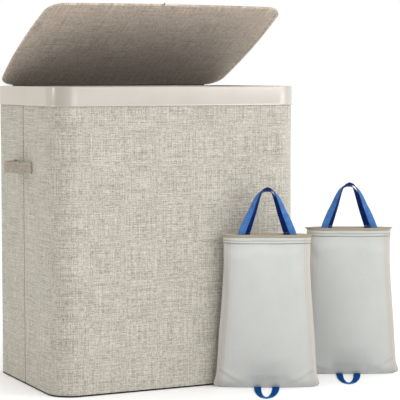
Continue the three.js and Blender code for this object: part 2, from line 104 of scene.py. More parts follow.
# The divider and the strips that hold the bags
DIVIDER_HEIGHT = 545 * MM
DIVIDER_THICKNESS = 3.5 * MM
CHANNEL_WIDTH = 26 * MM
CHANNEL_THICKNESS = 1 * MM
CHANNEL_LIP = 9 * MM
CHANNEL_PLAY = 0.4 * MM
CHANNEL_FILLET = 1.2 * MM
DIVIDER_TAPE_HEIGHT = 14 * MM
DIVIDER_TAPE_THICKNESS = 0.8 * MM
HOOK_WIDTH = 80 * MM
HOOK_HEIGHT = 20 * MM
HOOK_THICKNESS = 1.2 * MM
HOOK_DROP = 34 * MM
HOOK_CORNER = 2.5 * MM
SOFT_EDGE = 0.3 * MM
INSIDE_PUFF = 0.2 * MM

# The lid
LID_WIDTH = 553.6 * MM
LID_DEPTH = 364.4 * MM
LID_RADIUS = 34 * MM
LID_SIDE_BOW = 9.5 * MM
LID_FRONT_BOW = 4.3 * MM
LID_BACK_BOW = 1.5 * MM
LID_THICKNESS = 6 * MM
LID_HEM = 8 * MM
LID_EDGE_ROUND = 3.4 * MM
LID_ANGLE = math.radians(27.16)
HINGE_SETBACK = 1.5 * MM
HINGE_WIDTH = 470 * MM
PULL_WIDTH = 33 * MM
PULL_REACH = 7 * MM
PULL_HEIGHT = 4.6 * MM
PULL_LIFT = 0.3 * MM
PULL_THICKNESS = 0.5 * MM
PULL_ROOT = 1.1 * MM

# The liner bags
BAG_HEIGHT = 322 * MM
BAG_WIDTH = 224 * MM
BAG_DEPTH = 50 * MM
BAG_WALL = 1.2 * MM
BAG_FLOOR = 1.6 * MM
BAG_BINDING = 8 * MM
BAG_BINDING_THICKNESS = 1.2 * MM
BAG_END_FLARE = 6.5 * MM
BAG_FRONT_FLARE = 2.5 * MM
BAG_HEM = 10 * MM
BAG_TURN = math.radians(-25.9)
BAG_PLACES = {
    "bag_1": (BODY_WIDTH / 2 - 113 * MM, -BODY_DEPTH / 2 - 64 * MM),
    "bag_2": (BODY_WIDTH / 2 + 121 * MM, -BODY_DEPTH / 2 - 5 * MM),
}
BAG_SECTIONS = [  # height, width, depth and flatness, as in the CAD model
    (0, 0.9, 0.5, 3),
    (0.016, 1, 0.6, 2.4),
    (0.085, 0.953, 0.84, 2),
    (0.2, 0.93, 0.96, 2),
    (0.363, 0.902, 1, 2),
    (0.5, 0.87, 0.95, 2.1),
    (0.64, 0.84, 0.86, 2.4),
    (0.8, 0.818, 0.74, 3.2),
    (0.9, 0.81, 0.66, 4.4),
    (0.943, 0.808, 0.62, 6),
    (1, 0.808, 0.62, 6),
]
WEBBING_WIDTH = 15 * MM
WEBBING_THICKNESS = 1.6 * MM
FRONT_SPACING = 107 * MM
BACK_SPACING = 85 * MM
FRONT_CROWN = 94 * MM
BACK_CROWN = 90 * MM
PIVOT_LIFT = 1.6 * MM
FOOT_GAP = 0.5 * MM
FOOT_LENGTH = 30 * MM
TOP_TWIST = math.radians(118)
CROWN_SHARE = 0.22
HANDLE_PATH = [  # distance out, rise and twist, as shares
    (1, 0, 0),
    (0.79, 0.3, 0.16),
    (0.64, 0.49, 0.34),
    (0.475, 0.72, 0.48),
    (0.335, 0.87, 0.62),
    (0.17, 0.97, 0.85),
    (0, 1, 1),
]
LOOP_LENGTH = 118 * MM
LOOP_SPACING = 38 * MM
LOOP_GAP = 1.1 * MM
LOOP_HOLE_SHARE = 0.88
LOOP_LEAN = {"bag_1": 5.4 * MM, "bag_2": 8.5 * MM}

# The camera, fitted to the photograph's edges
IMAGE_SIZE = 400
FOCAL_PIXELS = 1626.1
SENSOR = 36
CAMERA_PITCH = math.radians(4.398)
CAMERA_AZIMUTH = math.radians(25.904)
CAMERA_PLACE = (-1.43643, -3.23099, 0.65351)

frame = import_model()


# Materials
def srgb(red, green, blue):
    def linear(level):
        share = level / 255
        return share / 12.92 if share <= 0.04045 else ((share + 0.055) / 1.055) ** 2.4

    return (linear(red), linear(green), linear(blue), 1)


class Nodes:
    """The shader nodes of a material or a world, built one node at a time."""

    def __init__(self, owner):
        owner.use_nodes = True
        self.tree = owner.node_tree
        self.tree.nodes.clear()

    def show(self, output, surface):
        self.put(self.tree.nodes.new("ShaderNodeOutput" + output).inputs["Surface"], surface)

    def node(self, kind, inputs=(), output=0, **settings):
        """An output of a new node, whose inputs take other nodes' outputs, or values."""
        node = self.tree.nodes.new("ShaderNode" + kind)
        for setting, value in settings.items():
            setattr(node, setting, value)
        for socket, value in dict(inputs).items():
            self.put(node.inputs[socket], value)
        return node.outputs[output]

    def put(self, socket, value):
        if isinstance(value, bpy.types.NodeSocket):
            self.tree.links.new(value, socket)
        else:
            socket.default_value = value

    def coordinates(self, attribute=None):
        if attribute:
            return self.node("Attribute", output="Vector", attribute_name=attribute)
        return self.node("TexCoord", output="Object")

    def noise(self, vector, scale, detail=2.0, roughness=0.5):
        """Noise of one scale, or drawn out where the scale has a value for each direction."""
        if isinstance(scale, tuple):
            vector = self.node("Mapping", {"Vector": vector, "Scale": scale})
            scale = 1
        inputs = {"Vector": vector, "Scale": scale, "Detail": detail, "Roughness": roughness}
        return self.node("TexNoise", inputs, "Fac")

    def math(self, operation, first, second=0.0):
        return self.node("Math", {0: first, 1: second}, operation=operation)

    def wave(self, value, pitch):
        return self.math("SINE", self.math("MULTIPLY", value, 2 * math.pi / pitch))

    def blend(self, *weighed):
        """The sum of each value times its weight."""
        total = 0.0
        for value, weight in weighed:
            total = self.math("ADD", self.math("MULTIPLY", value, weight), total)
        return total

    def ramp(self, value, low, high, to_low=0.0, to_high=1.0):
        limits = {"From Min": low, "From Max": high, "To Min": to_low, "To Max": to_high}
        return self.node("MapRange", {"Value": value, **limits})

    def mix(self, share, first, second):
        return self.node("Mix", {0: share, 6: first, 7: second}, 2, data_type="RGBA")

    def line(self, tone, value, middle, reach, strength):
        """A tone darkened where a value is near the line's middle."""
        away = self.math("ABSOLUTE", self.math("SUBTRACT", value, middle))
        return self.mix(self.ramp(away, reach, 0.0, 0.0, strength), tone, STITCH_AND_SHADE_TONE)

    def parts(self, vector):
        return self.node("SeparateXYZ", {0: vector}).node.outputs


class Graph(Nodes):
    """A material with one surface shader."""

    def __init__(self, name, roughness, sheen=0.0, specular=0.5):
        self.material = bpy.data.materials.new(name)
        super().__init__(self.material)
        levels = {"Roughness": roughness, "Sheen Weight": sheen, "Specular IOR Level": specular}
        surface = self.node("BsdfPrincipled", levels)
        self.shader = surface.node
        self.show("Material", surface)

    def bump(self, height, distance, strength):
        inputs = {"Strength": strength, "Distance": distance, "Height": height}
        self.put(self.shader.inputs["Normal"], self.node("Bump", inputs))

    def colour(self, value):
        self.put(self.shader.inputs["Base Color"], value)


WEAVE_LAYERS = {  # grain across and up, in thread pitches, then detail, roughness and weight
    "upright": (1.15, 9, 3, 0.6, 0.20),
    "level": (9, 1.15, 3, 0.6, 0.22),
    "slubs": (60, 1.15 / 0.85, 1, 0.5, 0.15),
    "warp_slubs": (1.15 / 0.85, 60, 1, 0.5, 0.13),
    "knots": (1.15 / 0.9, 1.15 / 0.9, 2, 0.6, 0.26),
    "clouds": (22, 22, 3, 0.6, 0.04),
}
WEAVE_SPREAD = 0.15
KNOT_LIMITS = (0.36, 0.27)
KNOT_STRENGTH = 0.5
THREAD_RELIEF_SHARE = 0.35


def weave_relief(graph, vector, pitch):
    """A plain weave's threads over and under, at the given pitch."""
    u, v, _ = graph.parts(vector)
    return graph.math("MULTIPLY", graph.wave(u, pitch), graph.wave(v, pitch))


def slub_cloth(name, dark, light, contrast, pitch, relief):
    """A coarse plain weave of uneven threads, some thick and some thin, in two shades."""
    graph = Graph(name, 0.95, sheen=0.15, specular=0.2)
    cloth = graph.coordinates("cloth")
    layers, weights = {}, []
    for layer, (across, up, detail, roughness, weight) in WEAVE_LAYERS.items():
        grain = (1 / (across * pitch), 1 / (up * pitch), 1)
        layers[layer] = graph.noise(cloth, grain, detail, roughness)
        weights.append(weight)
    shade = graph.blend(*zip(layers.values(), weights))
    half = WEAVE_SPREAD / contrast
    dark_knots = graph.math("MULTIPLY", graph.ramp(layers["knots"], *KNOT_LIMITS), KNOT_STRENGTH)
    shown = graph.math("SUBTRACT", graph.ramp(shade, 0.5 - half, 0.5 + half), dark_knots)
    graph.colour(graph.mix(graph.math("MAXIMUM", shown, 0.0), dark, light))
    weave = graph.math("MULTIPLY", weave_relief(graph, cloth, pitch), THREAD_RELIEF_SHARE)
    graph.bump(graph.math("ADD", weave, shade), relief, 0.6)
    return graph.material


# Darkens the side stitches, and the lines of painted shade along the hem.
STITCH_AND_SHADE_TONE = srgb(92, 91, 86)
LINE_WAVE_PITCH = 2 * math.pi / 90
LINE_WAVER = 0.35 * MM
SIDE_STITCHES = (8 * MM, 12.5 * MM)
SIDE_STITCH_REACH = 1.2 * MM
SIDE_STITCH_STRENGTH = 0.22
SEAM_SHADE_REACH = (24 * MM, 8 * MM)
BAG_CLOTH_PITCH = 0.8 * MM
BAG_CLOTH_RELIEF = 0.12 * MM
BAG_THREAD_SHARE = 0.06
BAG_CLOUD_DENSITY = 14
# Two mottled tones of the bag's cloth, then the painted shade by its side seams.
BAG_SHADES = (srgb(180, 182, 179), srgb(175, 176, 173), srgb(177, 174, 168))
HEM_BOTTOM = BAG_HEIGHT - BAG_BINDING - SEAT_GAP - BAG_HEM
# The hem's stitched groove, darkened as painted shade in its hollow, and a painted shadow at the hem's lower
# edge.
HEM_STITCH_AND_SHADE_LINES = (  # height, half width and strength
    (HEM_BOTTOM + 4.9 * MM, 1.3 * MM, 0.55),
    (HEM_BOTTOM + 0.3 * MM, 0.8 * MM, 0.3),
)
# A painted shadow on the bag just under the hem.
UNDER_HEM_SHADOW_LINES = ((HEM_BOTTOM - 0.6 * MM, 1.6 * MM, 0.6),)


def bag_cloth(name, lines):
    """A light, close weave with faint mottling, a warmer, darker tone by the side seams that is painted
    shade, stitched lines beside the seams, and the given lines of stitching and painted shade.
    """
    colour, shade_colour, painted_seam_shade = BAG_SHADES
    fine, drawn_out = 1 / BAG_CLOTH_PITCH, BAG_THREAD_SHARE / BAG_CLOTH_PITCH
    graph = Graph(name, 0.8, sheen=0.15, specular=0.25)
    cloth = graph.coordinates("cloth")
    u, v, inward = graph.parts(cloth)
    clouds = graph.noise(cloth, BAG_CLOUD_DENSITY, 3, 0.55)
    threads = graph.noise(cloth, (fine, drawn_out, 1))
    cross_threads = graph.noise(cloth, (drawn_out, fine, 1))
    both = graph.blend((threads, 0.32), (cross_threads, 0.2))
    shade = graph.math("ADD", graph.math("MULTIPLY", clouds, 0.6), both)
    tone = graph.mix(graph.ramp(shade, 0.38, 0.62), shade_colour, colour)
    # Painted shade: warmer and darker towards the side seams, where the bag's flanks turn from the light.
    tone = graph.mix(graph.ramp(inward, *SEAM_SHADE_REACH), tone, painted_seam_shade)
    for stitch in SIDE_STITCHES:
        tone = graph.line(tone, inward, stitch, SIDE_STITCH_REACH, SIDE_STITCH_STRENGTH)
    waver = graph.math("MULTIPLY", graph.wave(u, LINE_WAVE_PITCH), LINE_WAVER)
    # The given lines: stitching and painted shade along the hem.
    for height, reach, strength in lines:
        tone = graph.line(tone, graph.math("ADD", v, waver), height, reach, strength)
    graph.colour(tone)
    weave = graph.math("MULTIPLY", weave_relief(graph, cloth, BAG_CLOTH_PITCH), 0.5)
    graph.bump(graph.math("ADD", weave, both), BAG_CLOTH_RELIEF, 0.4)
    return graph.material


RIB_PITCH = 1.5 * MM
YARN_PITCH = 1.9 * MM
WEAR_DENSITY = 90
WEBBING_RELIEF = 0.18 * MM


def ribbed_webbing(name, dark, light, painted_crown_tone=None, sheen=0.02, specular=0.12):
    """Close ribs across the strap, and slow changes of tone along it, with a painted tone at the crown:
    painted shade at a handle's crown, painted light at a loop's tip.
    """
    graph = Graph(name, 0.75, sheen=sheen, specular=specular)
    cloth = graph.coordinates("cloth")
    across, along, crown = graph.parts(cloth)
    weave = graph.math("MULTIPLY", graph.wave(along, RIB_PITCH), graph.wave(across, YARN_PITCH))
    wear = graph.noise(cloth, WEAR_DENSITY, 3)
    shade = graph.math("ADD", graph.math("MULTIPLY", weave, 0.14), wear)
    tone = graph.mix(graph.ramp(shade, 0.25, 0.75), dark, light)
    # Painted tone at the crown: painted shade where a handle turns over, painted light at a loop's tip.
    graph.colour(graph.mix(graph.ramp(crown, 0.2, 0.7), tone, painted_crown_tone) if painted_crown_tone else tone)
    graph.bump(weave, WEBBING_RELIEF, 0.6)
    return graph.material


PLASTIC_RELIEF = 0.02 * MM
PLASTIC_SHADES = (srgb(172, 165, 154), srgb(179, 172, 164))
PLASTIC_CLOUD_DENSITY = 9
PLASTIC_GRAIN_DENSITY = 1600


def moulded_plastic():
    graph = Graph("rim_plastic", 0.3, specular=1.0)
    place = graph.coordinates()
    clouds = graph.noise(place, PLASTIC_CLOUD_DENSITY)
    grain = graph.noise(place, PLASTIC_GRAIN_DENSITY)
    graph.colour(graph.mix(graph.ramp(clouds, 0.3, 0.7), *PLASTIC_SHADES))
    graph.put(graph.shader.inputs["Roughness"], graph.ramp(grain, 0.2, 0.8, 0.2, 0.27))
    graph.bump(grain, PLASTIC_RELIEF, 0.25)
    return graph.material


FIBRE_RELIEF = 0.1 * MM
BOARD_FIBRES = (300, 300, 60)
TAPE_THREADS = (700, 700, 700)


def fibres(name, dark, light, scale, detail, fibre_roughness, strength, attribute=None, **surface):
    """A matt, finely grained surface in two shades."""
    graph = Graph(name, 0.9, **surface)
    grain = graph.noise(graph.coordinates(attribute), scale, detail, fibre_roughness)
    graph.colour(graph.mix(graph.ramp(grain, 0.3, 0.7), dark, light))
    graph.bump(grain, FIBRE_RELIEF, strength)
    return graph.material


def plain_tape(name, dark, light, attribute=None):
    return fibres(name, dark, light, TAPE_THREADS, 2, 0.5, 0.6, attribute, sheen=0.1, specular=0.2)


LINEN = slub_cloth("linen", srgb(120, 115, 102), srgb(213, 208, 198), 1.6, 1.3 * MM, 0.35 * MM)
# A darker copy of the linen for the side handles: painted shade about the strap's bow.
SHADED_HANDLE_LINEN = slub_cloth(
    "handle_linen", srgb(112, 105, 90), srgb(196, 188, 173), 1.1, 1.45 * MM, 0.35 * MM
)
LID_CLOTH = slub_cloth("lid_cloth", srgb(131, 117, 99), srgb(215, 201, 187), 1.8, 1.3 * MM, 0.3 * MM)
BAG_CLOTH = bag_cloth("bag_cloth", UNDER_HEM_SHADOW_LINES)
HEM_CLOTH = bag_cloth("hem_cloth", HEM_STITCH_AND_SHADE_LINES)
# The binding's taupe, darker than the bag's cloth, is partly painted shade of the down-facing flared lip.
BAG_BINDING_CLOTH = plain_tape("bag_binding", srgb(141, 133, 117), srgb(172, 163, 146), "cloth")
# The handles' webbing; its crown tone is painted shade.
WEB_OUTER = ribbed_webbing("webbing_outer", srgb(48, 89, 143), srgb(72, 114, 167), srgb(10, 36, 84))
# A darker copy of the webbing for the straps' inner faces: painted shade.
WEB_SHADED_INNER = ribbed_webbing("webbing_inner", srgb(2, 24, 80), srgb(8, 44, 114))
# The loops' webbing; its crown tone, at the loop's tip, is painted light.
WEB_LOOP = ribbed_webbing(
    "webbing_loop", srgb(0, 46, 100), srgb(6, 72, 134), srgb(46, 102, 158), sheen=0.0, specular=0.02
)
RIM_PLASTIC = moulded_plastic()
BOARD = fibres(
    "board", srgb(120, 104, 84), srgb(156, 138, 114), BOARD_FIBRES, 4, 0.6, 0.5, specular=0.15
)
DARK_TAPE = plain_tape("dark_tape", srgb(16, 14, 13), srgb(34, 30, 27))
SEAM_THREAD = plain_tape("seam_thread", srgb(86, 78, 66), srgb(112, 103, 89))
LINING = plain_tape("lining", srgb(74, 66, 58), srgb(98, 89, 79))
PULL_TAPE = plain_tape("pull_tape", srgb(212, 203, 190), srgb(236, 228, 217))
HOOK_TAPE = plain_tape("hook_tape", srgb(176, 168, 152), srgb(200, 193, 179))


# Meshes
def form(name, points, faces, materials=(), cloth=None, sharp=35, face_material=None):
    """A mesh object whose faces look outwards; cloth gives each point its place on the cloth."""
    mesh = bpy.data.meshes.new(name)
    mesh.from_pydata([tuple(point) for point in points], [], faces)
    for material in materials:
        mesh.materials.append(material)
    if cloth is not None:
        layer = mesh.attributes.new("cloth", "FLOAT_VECTOR", "POINT")
        layer.data.foreach_set("vector", np.asarray(cloth, np.float32).ravel())
    if face_material is not None:
        mesh.polygons.foreach_set("material_index", face_material)
    build = bmesh.new()
    build.from_mesh(mesh)
    bmesh.ops.recalc_face_normals(build, faces=build.faces)
    for face in build.faces:
        face.smooth = True
    for edge in build.edges:
        edge.smooth = len(edge.link_faces) == 2 and edge.calc_face_angle(0) < math.radians(sharp)
    build.to_mesh(mesh)
    build.free()
    piece = bpy.data.objects.new(name, mesh)
    bpy.context.scene.collection.objects.link(piece)
    return piece


def loft(rings, loop=False):
    """Points, and faces that join rings of equally many points; open lofts are capped at both ends."""
    count = len(rings[0])
    points = [point for ring in rings for point in ring]
    faces = []
    for ring in range(len(rings) if loop else len(rings) - 1):
        low, high = ring * count, ((ring + 1) % len(rings)) * count
        for step in range(count):
            after = (step + 1) % count
            faces.append((low + step, low + after, high + after, high + step))
    if not loop:
        faces.append(tuple(range(count))[::-1])
        last = (len(rings) - 1) * count
        faces.append(tuple(range(last, last + count)))
    return points, faces


def dress(name, rings, materials, slot, replaced=(), body="hamper", loop=False, **look):
    """A piece lofted from rings, that rides on a body in place of the CAD nodes it replaces."""
    piece = form(name, *loft(rings, loop), materials, **look)
    if body:
        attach(piece, body)
    if replaced:
        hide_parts(*replaced)
    return piece


def stack(section, outline, place=lambda x, y, z: (x, y, z)):
    """The rings of an outline that takes an inset, one for each inset and height of a section."""
    return [[place(x, y, z) for x, y in outline(inset)] for inset, z in section]


def rounded_outline(size, radius, steps, inset, least_radius=0.0, bows=(0.0, 0.0, 0.0)):
    """An inset rectangle with round corners, whose sides, front and back may bow out."""
    width, depth = (length - 2 * inset for length in size)
    radius = max(radius - inset, least_radius)
    corner_steps, side_steps = steps
    side_bow, front_bow, back_bow = bows
    half_width, half_depth = width / 2 - side_bow, (depth - front_bow - back_bow) / 2
    centres = [
        (half_width - radius, radius - half_depth),
        (half_width - radius, half_depth - radius),
        (radius - half_width, half_depth - radius),
        (radius - half_width, radius - half_depth),
    ]

    def corner(index, step):
        angle = math.pi / 2 * (index % 4 - 1 + step / corner_steps)
        x, y = centres[index % 4]
        return np.array((x + radius * math.cos(angle), y + radius * math.sin(angle)))

    outline = []
    for index in range(4):
        outline += [corner(index, step) for step in range(corner_steps + 1)]
        start, end = corner(index, corner_steps), corner(index + 1, 0)
        outline += [start + (end - start) * step / side_steps for step in range(1, side_steps)]
    points = np.array(outline)
    across, along = points[:, 0] / half_width, points[:, 1] / half_depth
    points[:, 0] += side_bow * across * (1 - along**2)
    points[:, 1] += np.where(along < 0, front_bow, back_bow) * along * (1 - across**2)
    return points


def mirrored(half):
    """A shape from its right half, whose mirrored points follow in reverse."""
    return half + [(-x, y) for x, y in reversed(half)]


def unit(vectors):
    return vectors / np.linalg.norm(vectors, axis=1)[:, None]


def path_length(points):
    """How far along the path each point lies."""
    return np.concatenate([[0], np.cumsum(np.linalg.norm(np.diff(points, axis=0), axis=1))])


def path_normals(path):
    tangent = unit(np.gradient(path, axis=0))
    return np.stack([tangent[:, 1], -tangent[:, 0]], axis=1)


RIPPLE_WAVES = 6
RIPPLE_DENSITIES = (14, 42)


def ripple(u, v, seed):
    """Soft random waves between about -1 and 1, the same on each run."""
    draw = np.random.RandomState(seed)
    total = np.zeros(np.broadcast(u, v).shape)
    for _ in range(RIPPLE_WAVES):
        density = draw.uniform(*RIPPLE_DENSITIES)
        turn, phase = draw.uniform(0, math.pi), draw.uniform(0, 2 * math.pi)
        total = total + np.sin(density * (u * math.cos(turn) + v * math.sin(turn)) + phase)
    return total / 3


SIDES = {"left": -1, "right": 1}
ENDS = {"front": -1, "back": 1}

# The hamper's walls
CORNER_STEPS = 20
SIDE_STEPS = 16
FRONT_STEPS = 56
WALL_ROWS = 70
TUCK_ROWS = 6
COVER_PUFF = 0.25 * MM
PUFF_FADE = 12 * MM
SEAM_ROLL = 2.5 * MM
SEAM_ROLL_SHARE = 0.6
RIM_TUCK = 0.7 * MM
RIM_TUCK_HEIGHT = 5 * MM
BACK_CLOTH_SHIFT = 0.13
CORD_ROWS = 260
CORD_SIDES = 8
CORD_INSET = 0.9 * MM
CORD_RADII = (0.45 * MM, 0.9 * MM)
CORD_SWELL = 0.14


def half_wall(inset):
    """The front half of the wall's outline, from the left side's middle to the right's."""
    x, y = BODY_WIDTH / 2 - inset, BODY_DEPTH / 2 - inset
    radius = CORNER_RADIUS - inset
    end = -SEAM_GAP / 2
    shares = np.linspace(0, 1, SIDE_STEPS, endpoint=False)
    side = [(-x, end - (y - radius + end) * share) for share in shares]
    turn = np.linspace(math.pi, 1.5 * math.pi, CORNER_STEPS, endpoint=False)
    left = [(radius - x + radius * math.cos(a), radius - y + radius * math.sin(a)) for a in turn]
    shares = np.linspace(0, 1, FRONT_STEPS)[: FRONT_STEPS // 2]
    return np.array(mirrored(side + left + [((x - radius) * (2 * share - 1), -y) for share in shares]))


def add_cover(name, back):
    outer, inner = half_wall(0), half_wall(COVER_THICKNESS)
    along = path_length(outer)
    foot = BODY_HEIGHT - RIM_HEIGHT
    heights = np.linspace(WALL_BOTTOM, foot - RIM_TUCK_HEIGHT, WALL_ROWS)
    heights = [*heights, *np.linspace(foot - RIM_TUCK_HEIGHT, foot, TUCK_ROWS)[1:], WALL_TOP]
    outward = unit(outer - inner)
    from_seam = np.clip(np.minimum(along, along[-1] - along) / SEAM_ROLL, 0, 1)
    rings = []
    for z in heights:
        puff = COVER_PUFF * ripple(along, z, 5 + back) * from_seam
        puff = puff * np.clip((foot - z) / PUFF_FADE, 0, 1)
        tuck = RIM_TUCK * np.clip(1 - (foot - z) / RIM_TUCK_HEIGHT, 0, 1) ** 2
        drawn_in = np.maximum((1 - from_seam) ** 2 * COVER_THICKNESS * SEAM_ROLL_SHARE, tuck)
        skin = outer + outward * (np.minimum(puff, COVER_PUFF) - drawn_in)[:, None]
        rings.append([(*point, z) for point in [*skin, *inner[::-1]]])
    cloth = [(u, z, 0) for z in heights for u in [*along, *along[::-1]]]
    if back:
        rings = [[(-x, -y, z) for x, y, z in ring] for ring in rings]
        cloth = [(u + along[-1] + BACK_CLOTH_SHIFT, v, w) for u, v, w in cloth]
    dress(name, rings, [LINEN], "linen", ["back_cover" if back else "front_cover"], cloth=cloth)


def add_seam_piping(side, name):
    """The corded seam up the middle of a side: a small ridge pinched by its stitches."""
    out, wide = CORD_RADII
    rings = []
    for row, z in enumerate(np.linspace(WALL_BOTTOM, WALL_TOP, CORD_ROWS)):
        swell = 1 + CORD_SWELL * (-1) ** row
        ring = []
        for angle in np.linspace(0, 2 * math.pi, CORD_SIDES, endpoint=False):
            x = BODY_WIDTH / 2 - CORD_INSET + out * swell * math.cos(angle)
            ring.append((side * x, wide * math.sin(angle), z))
        rings.append(ring)
    dress(name + "_cord", rings, [SEAM_THREAD], "dark_cloth", [name])


RIM_ARC_STEPS = 6
RIM_STEPS = (24, 4)
RIM_FOOT_EDGE = 0.4 * MM


def add_rim():
    """The moulded channel that caps the walls, with every edge rounded."""
    outside, lip = SEAT_GAP + RIM_SKIRT, SEAT_GAP + RIM_SKIRT - RIM_WIDTH
    top, foot = BODY_HEIGHT, BODY_HEIGHT - RIM_HEIGHT
    bead = outside + RIM_BEAD

    def arc(x, start):
        turns = start - np.linspace(0, math.pi / 2, RIM_ARC_STEPS + 1)
        return [(x + RIM_ROUND * math.cos(turn), top - RIM_ROUND * (1 - math.sin(turn))) for turn in turns]

    def outline(out):
        return rounded_outline(BODY_SIZE, CORNER_RADIUS, RIM_STEPS, -out)

    section = [
        (SEAT_GAP, foot),
        (SEAT_GAP, top - RIM_TOP),
        (lip + RIM_LIP, top - RIM_TOP),
        (lip + RIM_LIP, top - RIM_LIP_HEIGHT),
        (lip, top - RIM_LIP_HEIGHT),
        *arc(lip + RIM_ROUND, math.pi),
        *arc(outside - RIM_ROUND, math.pi / 2),
        (outside, foot + 2 * RIM_BEAD_HEIGHT),
        (outside + 0.7 * RIM_BEAD, foot + 1.5 * RIM_BEAD_HEIGHT),
        (bead, foot + RIM_BEAD_HEIGHT),
        (bead, foot + RIM_FOOT_EDGE),
        (bead - RIM_FOOT_EDGE, foot),
    ]
    dress("rim_moulding", stack(section, outline), [RIM_PLASTIC], "rim_plastic", ["top_rim"], loop=True)


HANDLE_FOLD = 1.4 * MM
HANDLE_FOLD_REACH = 7 * MM
HANDLE_FOLD_RISE = 1.5 * MM
HANDLE_SIDES = 20
HANDLE_SECTIONS = (0, 6, 66, 72)
HANDLE_SQUARENESS = (0.55, 0.35)
RIGHT_CLOTH_SHIFT = 1.4


def add_side_handle(side, name):
    """A folded strap: flat tabs at both ends and a bow between them."""
    wall = BODY_WIDTH / 2 + SEAT_GAP + HANDLE_THICKNESS / 2
    bow_half = HANDLE_SPAN / 2 - HANDLE_TAB
    ends = -HANDLE_SPAN / 2, -bow_half, bow_half, HANDLE_SPAN / 2
    along = np.interp(range(HANDLE_SECTIONS[-1] + 1), HANDLE_SECTIONS, ends)
    share = np.minimum(np.abs(along) / bow_half, 1)
    path = np.stack([wall + HANDLE_BOW * np.cos(math.pi / 2 * share) ** 2, along], axis=1)
    turns = np.linspace(0, 2 * math.pi, HANDLE_SIDES, endpoint=False)
    ways = np.stack([np.cos(turns), np.sin(turns)], axis=1)
    halves = np.array((HANDLE_THICKNESS, HANDLE_HEIGHT)) / 2
    profile = halves * np.sign(ways) * np.abs(ways) ** HANDLE_SQUARENESS
    rings, cloth = [], []
    for place, out, u in zip(path, path_normals(path), path_length(path)):
        ring = []
        from_end = HANDLE_SPAN / 2 - abs(place[1])
        fold = HANDLE_FOLD * min(1, max(0, (HANDLE_FOLD_REACH - from_end) / HANDLE_FOLD_RISE))
        for thick, tall in profile:
            x, y = place + out * (thick + (fold if thick > 0 else 0))
            ring.append((side * x, side * y, HANDLE_CENTRE + tall))
            cloth.append((u + RIGHT_CLOTH_SHIFT * (side > 0), tall, 0))
        rings.append(ring)
    # The strap takes the darker linen, painted shade.
    dress(name + "_strap", rings, [SHADED_HANDLE_LINEN], "linen", [name], cloth=cloth)


# The inside
LEAST_RADIUS = 5 * MM
BODY_STEPS = (16, 40)
INSIDE_WALL = BODY_DEPTH / 2 - INSIDE_INSET - SEAT_GAP
LINING_ROWS = 46
FLOOR_INSETS = (1.2 * MM, 8 * MM, 25 * MM, 50 * MM, 80 * MM, 110 * MM, 140 * MM)
CHANNEL_ROWS = 40
DIVIDER_STEPS = 42
DIVIDER_ROWS = 60
DIVIDER_FOOT = FLOOR_TOP + SEAT_GAP
TAPE_ROWS = 40
LINING_SEED = 31
DIVIDER_SEED = 47
HOOK_STEPS = (6, 12)


def body_outline(inset):
    return rounded_outline(BODY_SIZE, CORNER_RADIUS, BODY_STEPS, inset, LEAST_RADIUS)


def slack(u, v, seed):
    """Shallow waves of loose cloth."""
    return INSIDE_PUFF / 2 * np.clip(ripple(u, v, seed), -1, 1)


def add_base_tape():
    """The tape round the base board's edge, its edges softened."""
    low, high = BASE_TAPE_LIFT, BASE_THICKNESS
    section = [
        (BASE_TAPE_THICKNESS, low), (SOFT_EDGE, low), (0.0, low + SOFT_EDGE),
        (0.0, high - SOFT_EDGE), (SOFT_EDGE, high), (BASE_TAPE_THICKNESS, high),
    ]
    rings = stack(section, body_outline)
    dress("base_tape", rings, [DARK_TAPE], "dark_cloth", ["base_binding"], loop=True)


def add_lining():
    """The lining of the walls, loose enough to stand off in shallow waves."""
    outer, inner = body_outline(LINING_INSET), body_outline(INSIDE_INSET)
    inward, along = unit(inner - outer), path_length(inner)
    rings = [[(x, y, z) for x, y in outer] for z in (WALL_BOTTOM, WALL_TOP)]
    for z in np.linspace(WALL_TOP, WALL_BOTTOM, LINING_ROWS):
        puff = INSIDE_PUFF / 2 + slack(along, z, LINING_SEED)
        rings.append([(x, y, z) for x, y in inner + inward * puff[:, None]])
    dress("wall_lining", rings, [LINING], "lining", ["inner_lining"], loop=True)


def add_floor_pad():
    """The cloth-covered floor panel, with rounded edges."""
    edge = INSIDE_INSET + SEAT_GAP
    section = [
        (edge + SOFT_EDGE, WALL_BOTTOM), (edge, WALL_BOTTOM + SOFT_EDGE), (edge, FLOOR_TOP - 2 * SOFT_EDGE),
        (edge + SOFT_EDGE, FLOOR_TOP - SOFT_EDGE / 2), *[(edge + inset, FLOOR_TOP) for inset in FLOOR_INSETS],
    ]
    dress("floor_pad", stack(section, body_outline), [LINING], "lining", ["floor_panel"])


def add_channel(name, face):
    """A sewn channel that holds an upright edge of the divider, filleted where its lips rise."""
    slot = DIVIDER_THICKNESS / 2 + CHANNEL_PLAY
    lip, half, skin = slot + CHANNEL_THICKNESS, CHANNEL_WIDTH / 2, CHANNEL_THICKNESS
    right = [
        (half - SOFT_EDGE, 0.0), (half, SOFT_EDGE), (half, skin - SOFT_EDGE), (half - SOFT_EDGE, skin),
        (lip + CHANNEL_FILLET, skin), (lip + SOFT_EDGE, skin + SOFT_EDGE), (lip, skin + CHANNEL_FILLET),
        (lip, CHANNEL_LIP - SOFT_EDGE), (lip - SOFT_EDGE, CHANNEL_LIP), (slot, CHANNEL_LIP), (slot, skin),
    ]
    heights = np.linspace(DIVIDER_FOOT, DIVIDER_FOOT + DIVIDER_HEIGHT - DIVIDER_TAPE_HEIGHT, CHANNEL_ROWS)
    rings = [[(face * -x, face * (INSIDE_WALL - y), z) for x, y in mirrored(right)] for z in heights]
    dress(name + "_cloth", rings, [LINING], "lining", [name])


